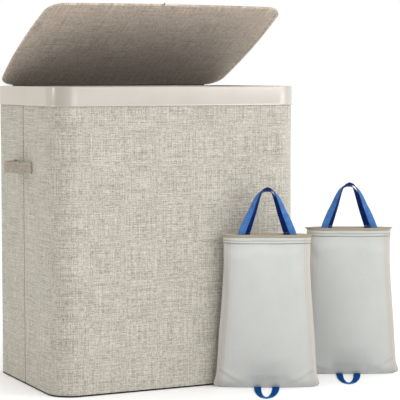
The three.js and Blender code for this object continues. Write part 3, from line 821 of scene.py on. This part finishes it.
def add_divider():
    """The cloth-covered divider and the tape folded over its top edge."""
    depth = BODY_DEPTH - 2 * (INSIDE_INSET + SEAT_GAP + CHANNEL_THICKNESS + SEAT_GAP)
    high = DIVIDER_FOOT + DIVIDER_HEIGHT
    half, edge = DIVIDER_THICKNESS / 2, SOFT_EDGE
    across = np.array([0, *np.linspace(edge, depth - edge, DIVIDER_STEPS), depth]) - depth / 2
    thick = [half - edge, *[half] * DIVIDER_STEPS, half - edge]
    rings = []
    for z in np.linspace(DIVIDER_FOOT, high, DIVIDER_ROWS):
        wave = slack(across, z, DIVIDER_SEED) * (z < high - DIVIDER_TAPE_HEIGHT)
        side, back = ([(w + way * t, y, z) for t, y, w in zip(thick, across, wave)] for way in (1, -1))
        rings.append(side + back[::-1])
    dress("divider_cloth", rings, [LINING], "lining", ["divider_panel"])

    inside, roof = half + SEAT_GAP, high + SEAT_GAP
    outside, top = inside + DIVIDER_TAPE_THICKNESS, roof + DIVIDER_TAPE_THICKNESS
    foot = high - DIVIDER_TAPE_HEIGHT + SEAT_GAP
    right = [
        (inside, roof), (inside, foot), (outside - edge, foot),
        (outside, foot + edge), (outside, top - edge), (outside - edge, top),
    ]
    rings = [[(x, y, z) for x, z in mirrored(right)] for y in np.linspace(-depth / 2, depth / 2, TAPE_ROWS)]
    dress("divider_tape", rings, [DARK_TAPE], "dark_cloth", ["divider_top_tape"])


def add_hook_strip(side, end):
    """A strip of hook tape near the top of a compartment."""
    middle = SIDES[side] * (BODY_WIDTH / 2 - INSIDE_INSET) / 2
    height = BODY_HEIGHT - RIM_LIP_HEIGHT - HOOK_DROP
    section = [(0.0, 0.0), (0.0, HOOK_THICKNESS - SOFT_EDGE), (SOFT_EDGE, HOOK_THICKNESS)]

    def outline(inset):
        return rounded_outline((HOOK_WIDTH, HOOK_HEIGHT), HOOK_CORNER, HOOK_STEPS, inset)

    def place(u, v, out):
        return (middle + u, ENDS[end] * (INSIDE_WALL - out), height + v)

    name = f"{side}_{end}_hook_strip"
    dress(name + "_tape", stack(section, outline, place), [HOOK_TAPE], "hook_tape", [name])


# The lid
LID_SKIN = 1.2 * MM
LID_FLAT_INSETS = (12 * MM, 30 * MM, 60 * MM, 100 * MM, 140 * MM)
LID_TOP_START = 4 * MM
LID_LOW_EDGE = [(0.0, 1.6 * MM), (0.5 * MM, 0.5 * MM), (1.4 * MM, 0.0)]
LID_HEM_EDGE = [(LID_HEM - 0.6 * MM, 0.0), (LID_HEM, 0.5 * MM), (LID_HEM, LID_SKIN)]
LINING_EDGE = [(LID_HEM + 0.3 * MM, LID_SKIN), (LID_HEM + 0.3 * MM, 0.5 * MM), (LID_HEM + 1 * MM, 0.15 * MM)]
LINING_START = 3 * MM
LEAST_LID_RADIUS = 6 * MM
LID_EDGE_POINTS = 9
LID_STEPS = (18, 14)


def lid_place(x, y, z):
    """From the lid's own frame, hinge edge at y = 0, to the open lid."""
    cos, sin = math.cos(LID_ANGLE), math.sin(LID_ANGLE)
    back, level = BODY_DEPTH / 2 + HINGE_SETBACK, BODY_HEIGHT + SEAT_GAP
    return (x, back + y * cos + z * sin, level - y * sin + z * cos)


def lid_outline(inset):
    size, bows = (LID_WIDTH, LID_DEPTH), (LID_SIDE_BOW, LID_FRONT_BOW, LID_BACK_BOW)
    outline = rounded_outline(size, LID_RADIUS, LID_STEPS, inset, LEAST_LID_RADIUS, bows)
    return [(x, y - (LID_DEPTH - LID_FRONT_BOW + LID_BACK_BOW) / 2) for x, y in outline]


def add_lid():
    turns = np.linspace(0, math.pi / 2, LID_EDGE_POINTS)
    edge = [
        (LID_EDGE_ROUND * (1 - math.sin(turn)), LID_THICKNESS - LID_EDGE_ROUND * (1 - math.cos(turn)))
        for turn in turns
    ]
    top = [(inset, LID_THICKNESS) for inset in (LID_TOP_START, *LID_FLAT_INSETS)]
    under = LID_THICKNESS - LID_SKIN
    inside = [(LID_SKIN, LID_SKIN), (LID_SKIN, under), (LID_FLAT_INSETS[-1], under)]
    wrap = [*reversed(top), *edge, *LID_LOW_EDGE, *LID_HEM_EDGE, *inside]
    lining = LINING_EDGE + [(LID_HEM + inset, 0.0) for inset in (LINING_START, *LID_FLAT_INSETS)]
    for name, section, replaced in (("lid_wrap", wrap, "lid_cover"), ("lid_underside", lining, "lid_lining")):
        cloth = [(x, y, 0) for inset, _ in section for x, y in lid_outline(inset)]
        rings = stack(section, lid_outline, lid_place)
        dress(name, rings, [LID_CLOTH], "lid_cloth", [replaced], "lid", cloth=cloth)


PULL_TURN_POINTS = 17


def add_lid_pull():
    """A short loop of tape at the middle of the lid's free edge, its inside painted dark as shade in the
    hollow.
    """
    half, skin = PULL_WIDTH / 2, PULL_THICKNESS / 2
    middle, radius = PULL_LIFT + PULL_HEIGHT / 2, PULL_HEIGHT / 2 - skin
    tip = PULL_REACH - PULL_HEIGHT / 2
    turn = [(tip, math.sin(angle), math.cos(angle)) for angle in np.linspace(0, math.pi, PULL_TURN_POINTS)]
    rings = []
    for start, out, up in [(-PULL_ROOT, 0.0, 1.0), *turn, (-PULL_ROOT, 0.0, -1.0)]:
        outer, inner = (
            (-LID_DEPTH - start - out * reach, middle + up * reach)
            for reach in (radius + skin, radius - skin)
        )
        corners = (-half, outer), (half, outer), (half, inner), (-half, inner)
        rings.append([lid_place(x, *spot) for x, spot in corners])
    # The inner faces take the dark tape: painted shade inside the loop's hollow.
    kinds = [0, 0, 1, 0] * (len(rings) - 1) + [0, 0]
    dress("lid_pull", rings, [PULL_TAPE, DARK_TAPE], "lid_cloth", body="lid", face_material=kinds)


HINGE_STANDOFF = 0.4 * MM
HINGE_KNEE = 0.9 * MM
HINGE_DROPS = (22 * MM, 3 * MM)
HINGE_INSET = 0.7 * MM
HINGE_RISES = (2.2 * MM, 4.4 * MM)
HINGE_SKIN = 0.35 * MM
HINGE_ROWS = 61
HINGE_STEPS = 8


def add_hinge_cloth():
    """One strip of tape from the back of the rim to the back edge of the lid."""
    back = BODY_DEPTH / 2 + SEAT_GAP + RIM_SKIRT + SEAT_GAP
    low, high = ((back + HINGE_STANDOFF, BODY_HEIGHT - drop) for drop in HINGE_DROPS)
    lid_low, lid_high = (lid_place(0, HINGE_INSET, rise)[1:] for rise in HINGE_RISES)
    spots = np.array([low, high, (back + HINGE_KNEE, BODY_HEIGHT), lid_low, lid_high])
    shares = np.linspace(0, 1, HINGE_STEPS + 1)
    path = [spots[0] + (spots[1] - spots[0]) * t for t in shares]
    path += [spots[1] * (1 - t) ** 2 + spots[2] * 2 * t * (1 - t) + spots[3] * t**2 for t in shares[1:]]
    path = np.array([*path, (spots[3] + spots[4]) / 2, spots[4]])
    skin = path_normals(path) * HINGE_SKIN
    profile = [*(path - skin), *(path + skin)[::-1]]
    places = np.linspace(-HINGE_WIDTH / 2, HINGE_WIDTH / 2, HINGE_ROWS)
    rings = [[(x, *spot) for spot in profile] for x in places]
    replaced = ["hinge_tape_rim", "hinge_tape_lid"]
    piece = dress("hinge_cloth", rings, [DARK_TAPE], "dark_cloth", replaced, body=None)
    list(high)
    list(lid_low)
    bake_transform(piece)


# The liner bags
BAG_STEPS = 96
BAG_FOOT_SHARES = [0, 0.006, 0.014, *np.linspace(0.022, 0.15, 20)]
BAG_WALL_START = 0.165
BAG_WALL_ROWS = 52
BAG_BASE_SHARES = (0.2, 0.5, 0.8)
SIM_FRAMES = 20
SIM_CAP = 5 * MM
SIM_ROUGHNESS = 0.5 * MM
SIM_SETTINGS = {
    "quality": 6,
    "mass": 0.15,
    "tension_stiffness": 20,
    "compression_stiffness": 20,
    "shear_stiffness": 6,
    "bending_stiffness": 0.3,
    "shrink_min": -0.03,
    "use_pressure": True,
    "uniform_pressure_force": 2.5,
    "vertex_group_mass": "pin",
}
SIDEWAYS_SHARE = 0.25
FOLD_HEIGHT = 1.2 * MM
SIDE_FOLDS = ((0.68, 0.93), (0.02, 0.05), (0.25, 0.6))  # limits of place, width and strength
MIDDLE_FOLDS = ((-0.5, 0.5), (0.1, 0.2), (-0.2, 0.2))
FOLD_COUNT = 3
FOLD_LEAN = 0.06
ARC_FOOT = 0.03
ARC_RISE = 0.08
ARC_GAP = 0.024
ARC_WIDTH = 0.016
ARC_STRENGTH = 1.4
LOOP_HOLD_ACROSS = (32 * MM, 52 * MM)
LOOP_HOLD_HEIGHT = (14 * MM, 60 * MM)


def bag_transform(name):
    x, y = BAG_PLACES[name]
    cos, sin = math.cos(BAG_TURN), math.sin(BAG_TURN)
    return lambda u, v, z: (x + u * cos - v * sin, y + u * sin + v * cos, z)


def pinched_ring(half_width, half_depth, flatness, steps):
    """A closed outline that comes to a point at both ends, like two layers sewn together."""
    ring = []
    for angle in 2 * math.pi * np.arange(steps) / steps:
        across = math.cos(angle)
        bulge = math.copysign(1 - abs(across) ** flatness, math.sin(angle))
        ring.append((half_width * across, half_depth * bulge))
    return ring


def bag_ring(share, inset):
    """The bag's outline at a height, eased between the CAD model's sections."""
    table = np.array(BAG_SECTIONS)
    width, depth, flatness = (float(np.interp(share, table[:, 0], column)) for column in table[:, 1:].T)
    half_width, half_depth = width * BAG_WIDTH / 2 - inset, depth * BAG_DEPTH / 2 - inset
    return pinched_ring(half_width, half_depth, flatness, BAG_STEPS)


def settle(points, faces, pinned):
    """How far each point moves as slack cloth settles under light pressure, up to the cap."""
    trial = form("settling", points, faces)
    trial.vertex_groups.new(name="pin").add([int(index) for index in pinned], 1.0, "REPLACE")
    cloth = trial.modifiers.new("cloth", "CLOTH")
    for setting, value in SIM_SETTINGS.items():
        setattr(cloth.settings, setting, value)
    cloth.settings.effector_weights.gravity = 0
    cloth.point_cache.frame_start = 1
    cloth.point_cache.frame_end = SIM_FRAMES
    for step in range(1, SIM_FRAMES + 1):
        bpy.context.scene.frame_set(step)
    settled = trial.evaluated_get(bpy.context.evaluated_depsgraph_get()).data
    move = np.array([vertex.co[:] for vertex in settled.vertices]) - np.array(points)
    bpy.data.meshes.remove(trial.data)
    bpy.context.scene.frame_set(1)
    length = np.linalg.norm(move, axis=1)[:, None]
    return move * np.minimum(1, SIM_CAP / np.maximum(length, 1e-9))


def bag_folds(across, share, side, uprights):
    """How far the cloth stands out: upright creases by the side seams, and two arcs low down."""
    reach = 0.0
    for middle, wide, strength in uprights:
        lean = middle + FOLD_LEAN * math.sin(3 * share + 5 * middle)
        reach += strength * math.exp(-(((across - lean) / wide) ** 2)) * (0.4 + 0.6 * share)
    reach *= min(1, 6 * share, 5 * (1 - share))
    corner = min(max((abs(across) - 0.4) / 0.5, 0), 1)
    height = ARC_FOOT + ARC_RISE * corner**1.4
    fade = ARC_STRENGTH * min(1, 3 * corner, max(0, 0.97 - abs(across)) / 0.05, share / 0.02)
    for way in (1, -1):
        reach += way * fade * math.exp(-(((share - height - way * ARC_GAP / 2) / ARC_WIDTH) ** 2))
    return side * reach * FOLD_HEIGHT


def held_by_loop(u, v, height):
    """How much the loop's seam holds the cloth in at the foot, from 0 to 1, so that the loop can lift."""
    held = 1.0 if v < 0 else 0.0
    for value, (near, far) in ((abs(u), LOOP_HOLD_ACROSS), (height, LOOP_HOLD_HEIGHT)):
        away = min(max((value - near) / (far - near), 0), 1)
        held *= 1 - away**2 * (3 - 2 * away)
    return held


def add_bag_body(name, seed):
    """The bag's cloth, settled, folded and closed at the foot, with its wall's inner side."""
    place = bag_transform(name)
    draw = np.random.RandomState(seed)
    top = 1 - (BAG_BINDING + SEAT_GAP) / BAG_HEIGHT
    shares = np.array([*BAG_FOOT_SHARES, *np.linspace(BAG_WALL_START, top, BAG_WALL_ROWS)])
    outer = [[(u, v, share * BAG_HEIGHT) for u, v in bag_ring(share, 0)] for share in shares]
    floor = [[(u * k, v * k, 0.0) for u, v in bag_ring(0, 0)] for k in BAG_BASE_SHARES]
    points, faces = loft(floor + outer)
    points, rows, start = np.array(points), len(shares), len(floor) * BAG_STEPS
    rough = SIM_ROUGHNESS * draw.uniform(-1, 1, (rows, BAG_STEPS)) * np.sin(np.pi * shares / top)[:, None]
    points[start:, 1] += rough.ravel()
    pinned = [*range(start + 2 * BAG_STEPS), *range(start + (rows - 4) * BAG_STEPS, len(points))]
    move = settle(points, faces[:-2], pinned)
    move = move[start:].reshape(rows, BAG_STEPS, 3)
    move[:, :, 1] += rough
    move[:, :, 0] *= SIDEWAYS_SHARE
    for _ in range(3):
        around = np.roll(move, 1, axis=1) + np.roll(move, -1, axis=1)
        move[1:-1] = (move[1:-1] * 2 + around[1:-1] + move[:-2] + move[2:]) / 6
    places, widths, strengths = SIDE_FOLDS
    sides = [side for side in (-1, 1) for _ in range(FOLD_COUNT)]
    by_seams = [(side * draw.uniform(*places), draw.uniform(*widths)) for side in sides]
    uprights = [(*fold, draw.choice((-1, 1)) * draw.uniform(*strengths)) for fold in by_seams]
    uprights += [[draw.uniform(*limits) for limits in MIDDLE_FOLDS] for _ in range(FOLD_COUNT)]
    angles = 2 * math.pi * np.arange(BAG_STEPS) / BAG_STEPS
    rings, cloth = [], []

    def add(row, inset, height, offset):
        ring = []
        for (u, v), angle, shift in zip(bag_ring(shares[row], inset), angles, move[row]):
            side = math.copysign(1, math.sin(angle))
            fold = bag_folds(math.cos(angle), shares[row], side, uprights) * abs(math.sin(angle)) ** 0.5
            free = 1 - held_by_loop(u, v, height)
            ring.append((u + free * shift[0], v + free * (shift[1] + fold)))
        rings.append([place(u, v, height) for u, v in ring])
        half = max(abs(u) for u, _ in ring)
        cloth.extend((u + offset, height, half - abs(u)) for u, _ in ring)

    for row, share in enumerate(shares):
        add(row, 0, share * BAG_HEIGHT, 0)
    for row in range(rows - 1, 3, -1):
        add(row, BAG_WALL, shares[row] * BAG_HEIGHT, 1)
    add(2, 2 * BAG_WALL, BAG_FLOOR, 1)
    dress(name + "_cloth", rings, [BAG_CLOTH], "bag_cloth", [name + "_body"], name, cloth=cloth, sharp=60)


MOUTH_STEPS = 128
MOUTH_WIDTH, MOUTH_DEPTH = (
    share * length for share, length in zip(BAG_SECTIONS[-1][1:], (BAG_WIDTH, BAG_DEPTH))
)
MOUTH_FLATNESS = BAG_SECTIONS[-1][3]
HEM_TURN = 1.4 * MM
HEM_RISE = BAG_HEM + HEM_TURN
HEM_ROWS = [  # height above the hem's foot, and distance from the bag
    (0, 0.35 * MM),
    (0.2 * MM, 1.2 * MM),
    (1.2 * MM, 1.5 * MM),
    (3.4 * MM, 1.4 * MM),
    (4.6 * MM, 0.6 * MM),
    (5.2 * MM, 0.6 * MM),
    (6.6 * MM, 1.3 * MM),
    (HEM_RISE - 1 * MM, 1.2 * MM),
    (HEM_RISE, 0.9 * MM),
    (HEM_RISE, 0.3 * MM),
    (0.4 * MM, 0.3 * MM),
]
HEM_WAVE = 0.5 * MM
HEM_WAVE_DENSITY = 40
HEM_WAVE_REACH = 3 * MM
BINDING_SHARES = (0.25, 0.5, 0.75, 0.93, 1)
BINDING_INNER_SHARES = (1, 0.75, 0.5, 0.25, 0)


def mouth_ring(outset, end_outset):
    return pinched_ring(MOUTH_WIDTH / 2 + end_outset, MOUTH_DEPTH / 2 + outset, MOUTH_FLATNESS, MOUTH_STEPS)


def add_bag_mouth(name, seed):
    """The hem, with a stitched groove, and the binding that flares at the mouth."""
    place = bag_transform(name)
    rings, cloth = [], []
    for rise, out in HEM_ROWS:
        ring, height = mouth_ring(out, out), HEM_BOTTOM + rise
        wave = HEM_WAVE * (rise < HEM_WAVE_REACH)
        rings.append([place(u, v, height + wave * math.sin(HEM_WAVE_DENSITY * u + seed)) for u, v in ring])
        cloth += [(u, height, MOUTH_WIDTH / 2 - abs(u)) for u, _ in ring]
    replaced = [name + "_hem"]
    dress(name + "_hem_band", rings, [HEM_CLOTH], "bag_cloth", replaced, name, loop=True, cloth=cloth)

    bottom = HEM_BOTTOM + HEM_RISE + SEAT_GAP
    rows = [(0, 0), *[(share, 0) for share in BINDING_SHARES]]
    rows += [(share, BAG_BINDING_THICKNESS) for share in BINDING_INNER_SHARES]
    rings, cloth = [], []
    for share, inset in rows:
        flare = share**1.5
        ring = mouth_ring(BAG_FRONT_FLARE * flare - inset, BAG_END_FLARE * flare - inset)
        rings.append([place(u, v, bottom + (BAG_HEIGHT - bottom) * share) for u, v in ring])
        cloth += [(u, share * BAG_BINDING, 0) for u, _ in ring]
    replaced = [name + "_mouth_binding"]
    cloths = [BAG_BINDING_CLOTH]
    dress(name + "_binding", rings, cloths, "bag_binding", replaced, name, loop=True, cloth=cloth)


# The straps
HANDLE_STEPS = 110
FOOT_STEPS = 12
LOOP_STEPS = 72
CURVE_STEP = 1e-3


def catmull(points, share):
    """A point on a centripetal Catmull-Rom curve through the points."""
    count = len(points)
    place = (count - 1) * share
    index = min(int(place), count - 2)
    weight = place - index
    p1, p2 = points[index], points[index + 1]
    p0 = points[index - 1] if index else 2 * p1 - p2
    p3 = points[index + 2] if index + 2 < count else 2 * p2 - p1
    d0, d1, d2 = (max(float(np.dot(b - a, b - a)) ** 0.25, 1e-9) for a, b in ((p0, p1), (p1, p2), (p2, p3)))
    m1 = ((p1 - p0) / d0 - (p2 - p0) / (d0 + d1) + (p2 - p1) / d1) * d1
    m2 = ((p2 - p1) / d1 - (p3 - p1) / (d1 + d2) + (p3 - p2) / d2) * d1
    w2, w3 = weight**2, weight**3
    return p1 * (2 * w3 - 3 * w2 + 1) + m1 * (w3 - 2 * w2 + weight) + p2 * (3 * w2 - 2 * w3) + m2 * (w3 - w2)


def strap_profile():
    """A webbing strap's section: (across, through), with rounded selvedges."""
    half, thick = WEBBING_WIDTH / 2, WEBBING_THICKNESS / 2
    face = [(half * share, thick) for share in (-0.86, -0.5, 0, 0.5, 0.86)]
    side = [(half * 0.96, thick * 0.75), (half, 0), (half * 0.96, -thick * 0.75)]
    return [*face, *side, *[(-x, -t) for x, t in face + side]]


def sweep_strap(name, stations, place, body, replaced, outer, crown_share=0.0):
    """A strap swept along stations, its inner face darker as painted shade; the cloth's third value is 1 at
    the crown.
    """
    profile = strap_profile()
    lengths = path_length([middle for middle, _, _ in stations])
    rings, cloth = [], []
    for index, (middle, across, through) in enumerate(stations):
        from_middle = abs(index / (len(stations) - 1) - 0.5)
        crown = max(0.0, 1 - from_middle / crown_share) if crown_share else 0.0
        rings.append([place(*(middle + across * a + through * t)) for a, t in profile])
        cloth += [(a, lengths[index], crown) for a, _ in profile]
    # Inner faces take the darker webbing, painted shade.
    kinds = [0 if step < 7 else 1 for step in range(len(profile))] * (len(rings) - 1) + [0, 0]
    faces = [outer, WEB_SHADED_INNER]
    dress(name, rings, faces, "webbing", [replaced], body, cloth=cloth, face_material=kinds)


def mouth_face(x):
    """How far from the bag's middle the inside of its mouth lies."""
    share = x / (MOUTH_WIDTH / 2 - BAG_WALL)
    return (MOUTH_DEPTH / 2 - BAG_WALL) * (1 - share**MOUTH_FLATNESS)


def add_bag_handle(name, part, face, spacing, rise):
    """A strap that turns on edge at its crown, and its two ends inside the mouth."""
    place = bag_transform(name)
    middle = face * (mouth_face((spacing + WEBBING_WIDTH) / 2) - FOOT_GAP - WEBBING_THICKNESS / 2)
    pivot = BAG_HEIGHT + PIVOT_LIFT
    half = [(out * spacing / 2, up * rise, twist * TOP_TWIST) for out, up, twist in HANDLE_PATH]
    whole = [(-x, z, t) for x, z, t in half] + half[-2::-1]
    points = [np.array((x, 0.0, z)) for x, z, _ in whole]
    twists = [t for _, _, t in whole]
    stations = []
    for step in range(HANDLE_STEPS + 1):
        share = step / HANDLE_STEPS
        spot = catmull(points, share)
        along = catmull(points, min(share + CURVE_STEP, 1)) - catmull(points, max(share - CURVE_STEP, 0))
        along /= np.linalg.norm(along)
        twist = float(np.interp(share * (len(whole) - 1), range(len(whole)), twists))
        flat = step in (0, HANDLE_STEPS)
        outwards = np.array((-along[2], 0.0, 0.0 if flat else along[0]))
        outwards /= np.linalg.norm(outwards)
        across = outwards * math.cos(twist) + np.array((0.0, -face * math.sin(twist), 0.0))
        through = face * np.cross(across, along)
        through /= np.linalg.norm(through)
        stations.append((spot + np.array((0.0, middle, pivot)), across, through))
    body = f"{name}_{'front' if face < 0 else 'back'}_strap"
    handle = f"{name}_{part}"
    sweep_strap(handle + "_webbing", stations, place, body, handle, WEB_OUTER, CROWN_SHARE)

    top = pivot - SEAT_GAP
    length = FOOT_LENGTH + top - BAG_HEIGHT
    across, through = np.array((1.0, 0, 0)), np.array((0, float(face), 0))
    for side, x in (("left", -spacing / 2), ("right", spacing / 2)):
        depths = length * np.arange(FOOT_STEPS + 1) / FOOT_STEPS
        stations = [(np.array((x, middle, top - depth)), across, through) for depth in depths]
        foot = f"{handle}_{side}_foot"
        sweep_strap(foot + "_webbing", stations, place, name, foot, WEB_OUTER)


def add_bag_loop(name):
    """The pull loop, whose strap draws in to a rounded tip and lies a little askew."""
    _, foot_width, foot_depth, flatness = BAG_SECTIONS[0]
    share = LOOP_SPACING / (foot_width * BAG_WIDTH)
    start = -(foot_depth * BAG_DEPTH * (1 - share**flatness)) / 2 - LOOP_GAP
    outer = np.array((LOOP_SPACING + WEBBING_WIDTH, 2 * LOOP_LENGTH)) / 2
    hole = np.array((LOOP_SPACING - WEBBING_WIDTH, 2 * LOOP_LENGTH * LOOP_HOLE_SHARE)) / 2
    stations = []
    for angle in np.linspace(math.pi, 0, LOOP_STEPS + 1):
        round_loop = np.array((math.cos(angle), math.sin(angle)))
        out, down = (outer + hole) / 2 * round_loop
        width, length = (outer - hole) / WEBBING_WIDTH * round_loop
        lean = LOOP_LEAN[name] * round_loop[1]
        middle = np.array((out - lean, start - down, WEBBING_THICKNESS / 2))
        stations.append((middle, np.array((width, -length, 0)), np.array((0, 0, 1.0))))
    place, body = bag_transform(name), name + "_pull_loop"
    sweep_strap(name + "_loop_webbing", stations, place, body, name + "_bottom_loop", WEB_LOOP, CROWN_SHARE)


def finish_boards():
    """The CAD nodes that are shown as they are get a finish."""
    finishes = {"base_board": DARK_TAPE, "front_board": BOARD, "back_board": BOARD, "lid_board": BOARD}
    for name, material in finishes.items():
        mesh = frame["nodes"][name].data
        mesh.materials.clear()
        mesh.materials.append(material)


# Floor, light and camera
FLOOR_SIZE = 30
FLOOR_DROP = 0.2 * MM
SURROUND = 1.18
DIM_SIDE = (-0.82, -0.57, 0.0)
DIM_SHARE = 0.05
DIM_EDGES = (0.55, 0.97)
WARM_SIDE = (-0.85, 0.0, -0.53)
WARM_EDGES = (0.0, 0.5)
WHITE = (1, 1, 1, 1)
WARM_TINT = (0.965, 0.915, 0.81, 1)
LAMPS = {  # place, target, width and height, and power
    "front_box": ((0.0, -4.0, 2.1), (0.1, 0, 0.3), (1.8, 2.2), 19),
    "right_box": ((3.05, -2.55, 2.0), (0.1, 0, 0.3), (1.8, 2.2), 43),
    "low_box": ((2.24, -3.5, 0.62), (0.1, -0.19, 0.6), (1.0, 1.1), 20),
    "left_strip": ((-3.2, 0.05, 0.62), (-0.26, -0.13, 0.6), (0.3, 0.9), 11),
    "bag_box": ((0.13, -0.86, 1.05), (0.36, -0.2, 0.2), (1.7, 0.35), 7.8),
}
NOT_ON_BAGS = ("right_box", "low_box")
ONLY_ON_BAGS = ("bag_box",)
CLIP_END = 60


def add_floor():
    bpy.ops.mesh.primitive_plane_add(size=FLOOR_SIZE)
    floor = bpy.context.active_object
    floor.name = "floor"
    graph = Graph("floor", 0.9, specular=0.1)
    graph.colour(srgb(254, 254, 254))
    floor.data.materials.append(graph.material)
    floor.location.z = -FLOOR_DROP


def add_surround():
    """White to the eye; it lights evenly, but warmer from the left and dimmer from the left front."""
    world = bpy.data.worlds.new("studio")
    bpy.context.scene.world = world
    nodes = Nodes(world)
    direction = nodes.node("TexCoord", output="Generated")

    def towards(side, *limits):
        facing = nodes.node("VectorMath", {0: direction, 1: side}, "Value", operation="DOT_PRODUCT")
        return nodes.ramp(facing, *limits)

    tint = nodes.mix(towards(WARM_SIDE, *WARM_EDGES), WHITE, WARM_TINT)
    dimmed = towards(DIM_SIDE, *DIM_EDGES, SURROUND, SURROUND * DIM_SHARE)
    lit = nodes.node("Background", {"Color": tint, "Strength": dimmed})
    seen = nodes.node("Background", {"Color": WHITE})
    to_camera = nodes.node("LightPath", output="Is Camera Ray")
    nodes.show("World", nodes.node("MixShader", {0: to_camera, 1: lit, 2: seen}))


def add_lamp(name, place, target, size, power):
    light = bpy.data.lights.new(name, "AREA")
    light.shape = "RECTANGLE"
    light.size, light.size_y = size
    light.energy = power
    lamp = bpy.data.objects.new(name, light)
    bpy.context.scene.collection.objects.link(lamp)
    lamp.location = place
    lamp.rotation_euler = (Vector(target) - Vector(place)).to_track_quat("-Z", "Y").to_euler()
    lamp.visible_camera = name not in ONLY_ON_BAGS


def share_lamps():
    """The bags are lit from the front by a lamp of their own, and not by those at the right."""
    for name, lamps, state in (("unlit_bags", NOT_ON_BAGS, "EXCLUDE"), ("lit_bags", ONLY_ON_BAGS, "INCLUDE")):
        group = bpy.data.collections.new(name)
        for piece in bpy.context.scene.objects:
            if piece.type == "MESH" and piece.name.startswith(tuple(BAG_PLACES)):
                group.objects.link(piece)
        for entry in group.collection_objects:
            entry.light_linking.link_state = state
        for lamp in lamps:
            bpy.data.objects[lamp].light_linking.receiver_collection = group


def add_camera():
    camera = bpy.data.cameras.new("camera")
    camera.sensor_width = SENSOR
    camera.lens = FOCAL_PIXELS / IMAGE_SIZE * SENSOR
    camera.clip_end = CLIP_END
    holder = bpy.data.objects.new("camera", camera)
    bpy.context.scene.collection.objects.link(holder)
    holder.location = CAMERA_PLACE
    holder.rotation_euler = (math.pi / 2 - CAMERA_PITCH, 0, -CAMERA_AZIMUTH)
    bpy.context.scene.camera = holder


add_camera()
add_floor()
add_surround()
for lamp_name, values in LAMPS.items():
    add_lamp(lamp_name, *values)
finish_boards()
add_cover("front_cloth", False)
add_cover("back_cloth", True)
for side_name, side_way in SIDES.items():
    add_seam_piping(side_way, side_name + "_seam_piping")
add_base_tape()
add_lining()
add_floor_pad()
for end_name, end_way in ENDS.items():
    add_channel(f"divider_{end_name}_channel", end_way)
add_divider()
for side_name in SIDES:
    for end_name in ENDS:
        add_hook_strip(side_name, end_name)
add_rim()
for side_name, side_way in SIDES.items():
    add_side_handle(side_way, side_name + "_handle")
add_lid()
add_lid_pull()
add_hinge_cloth()
for bag, bag_seed in (("bag_1", 11), ("bag_2", 23)):
    add_bag_body(bag, bag_seed)
    add_bag_mouth(bag, bag_seed)
    add_bag_handle(bag, "front_handle", -1, FRONT_SPACING, FRONT_CROWN)
    add_bag_handle(bag, "back_handle", 1, BACK_SPACING, BACK_CROWN)
    add_bag_loop(bag)
share_lamps()

bpy.context.scene.view_settings.view_transform = "Standard"
bpy.context.view_layer.update()
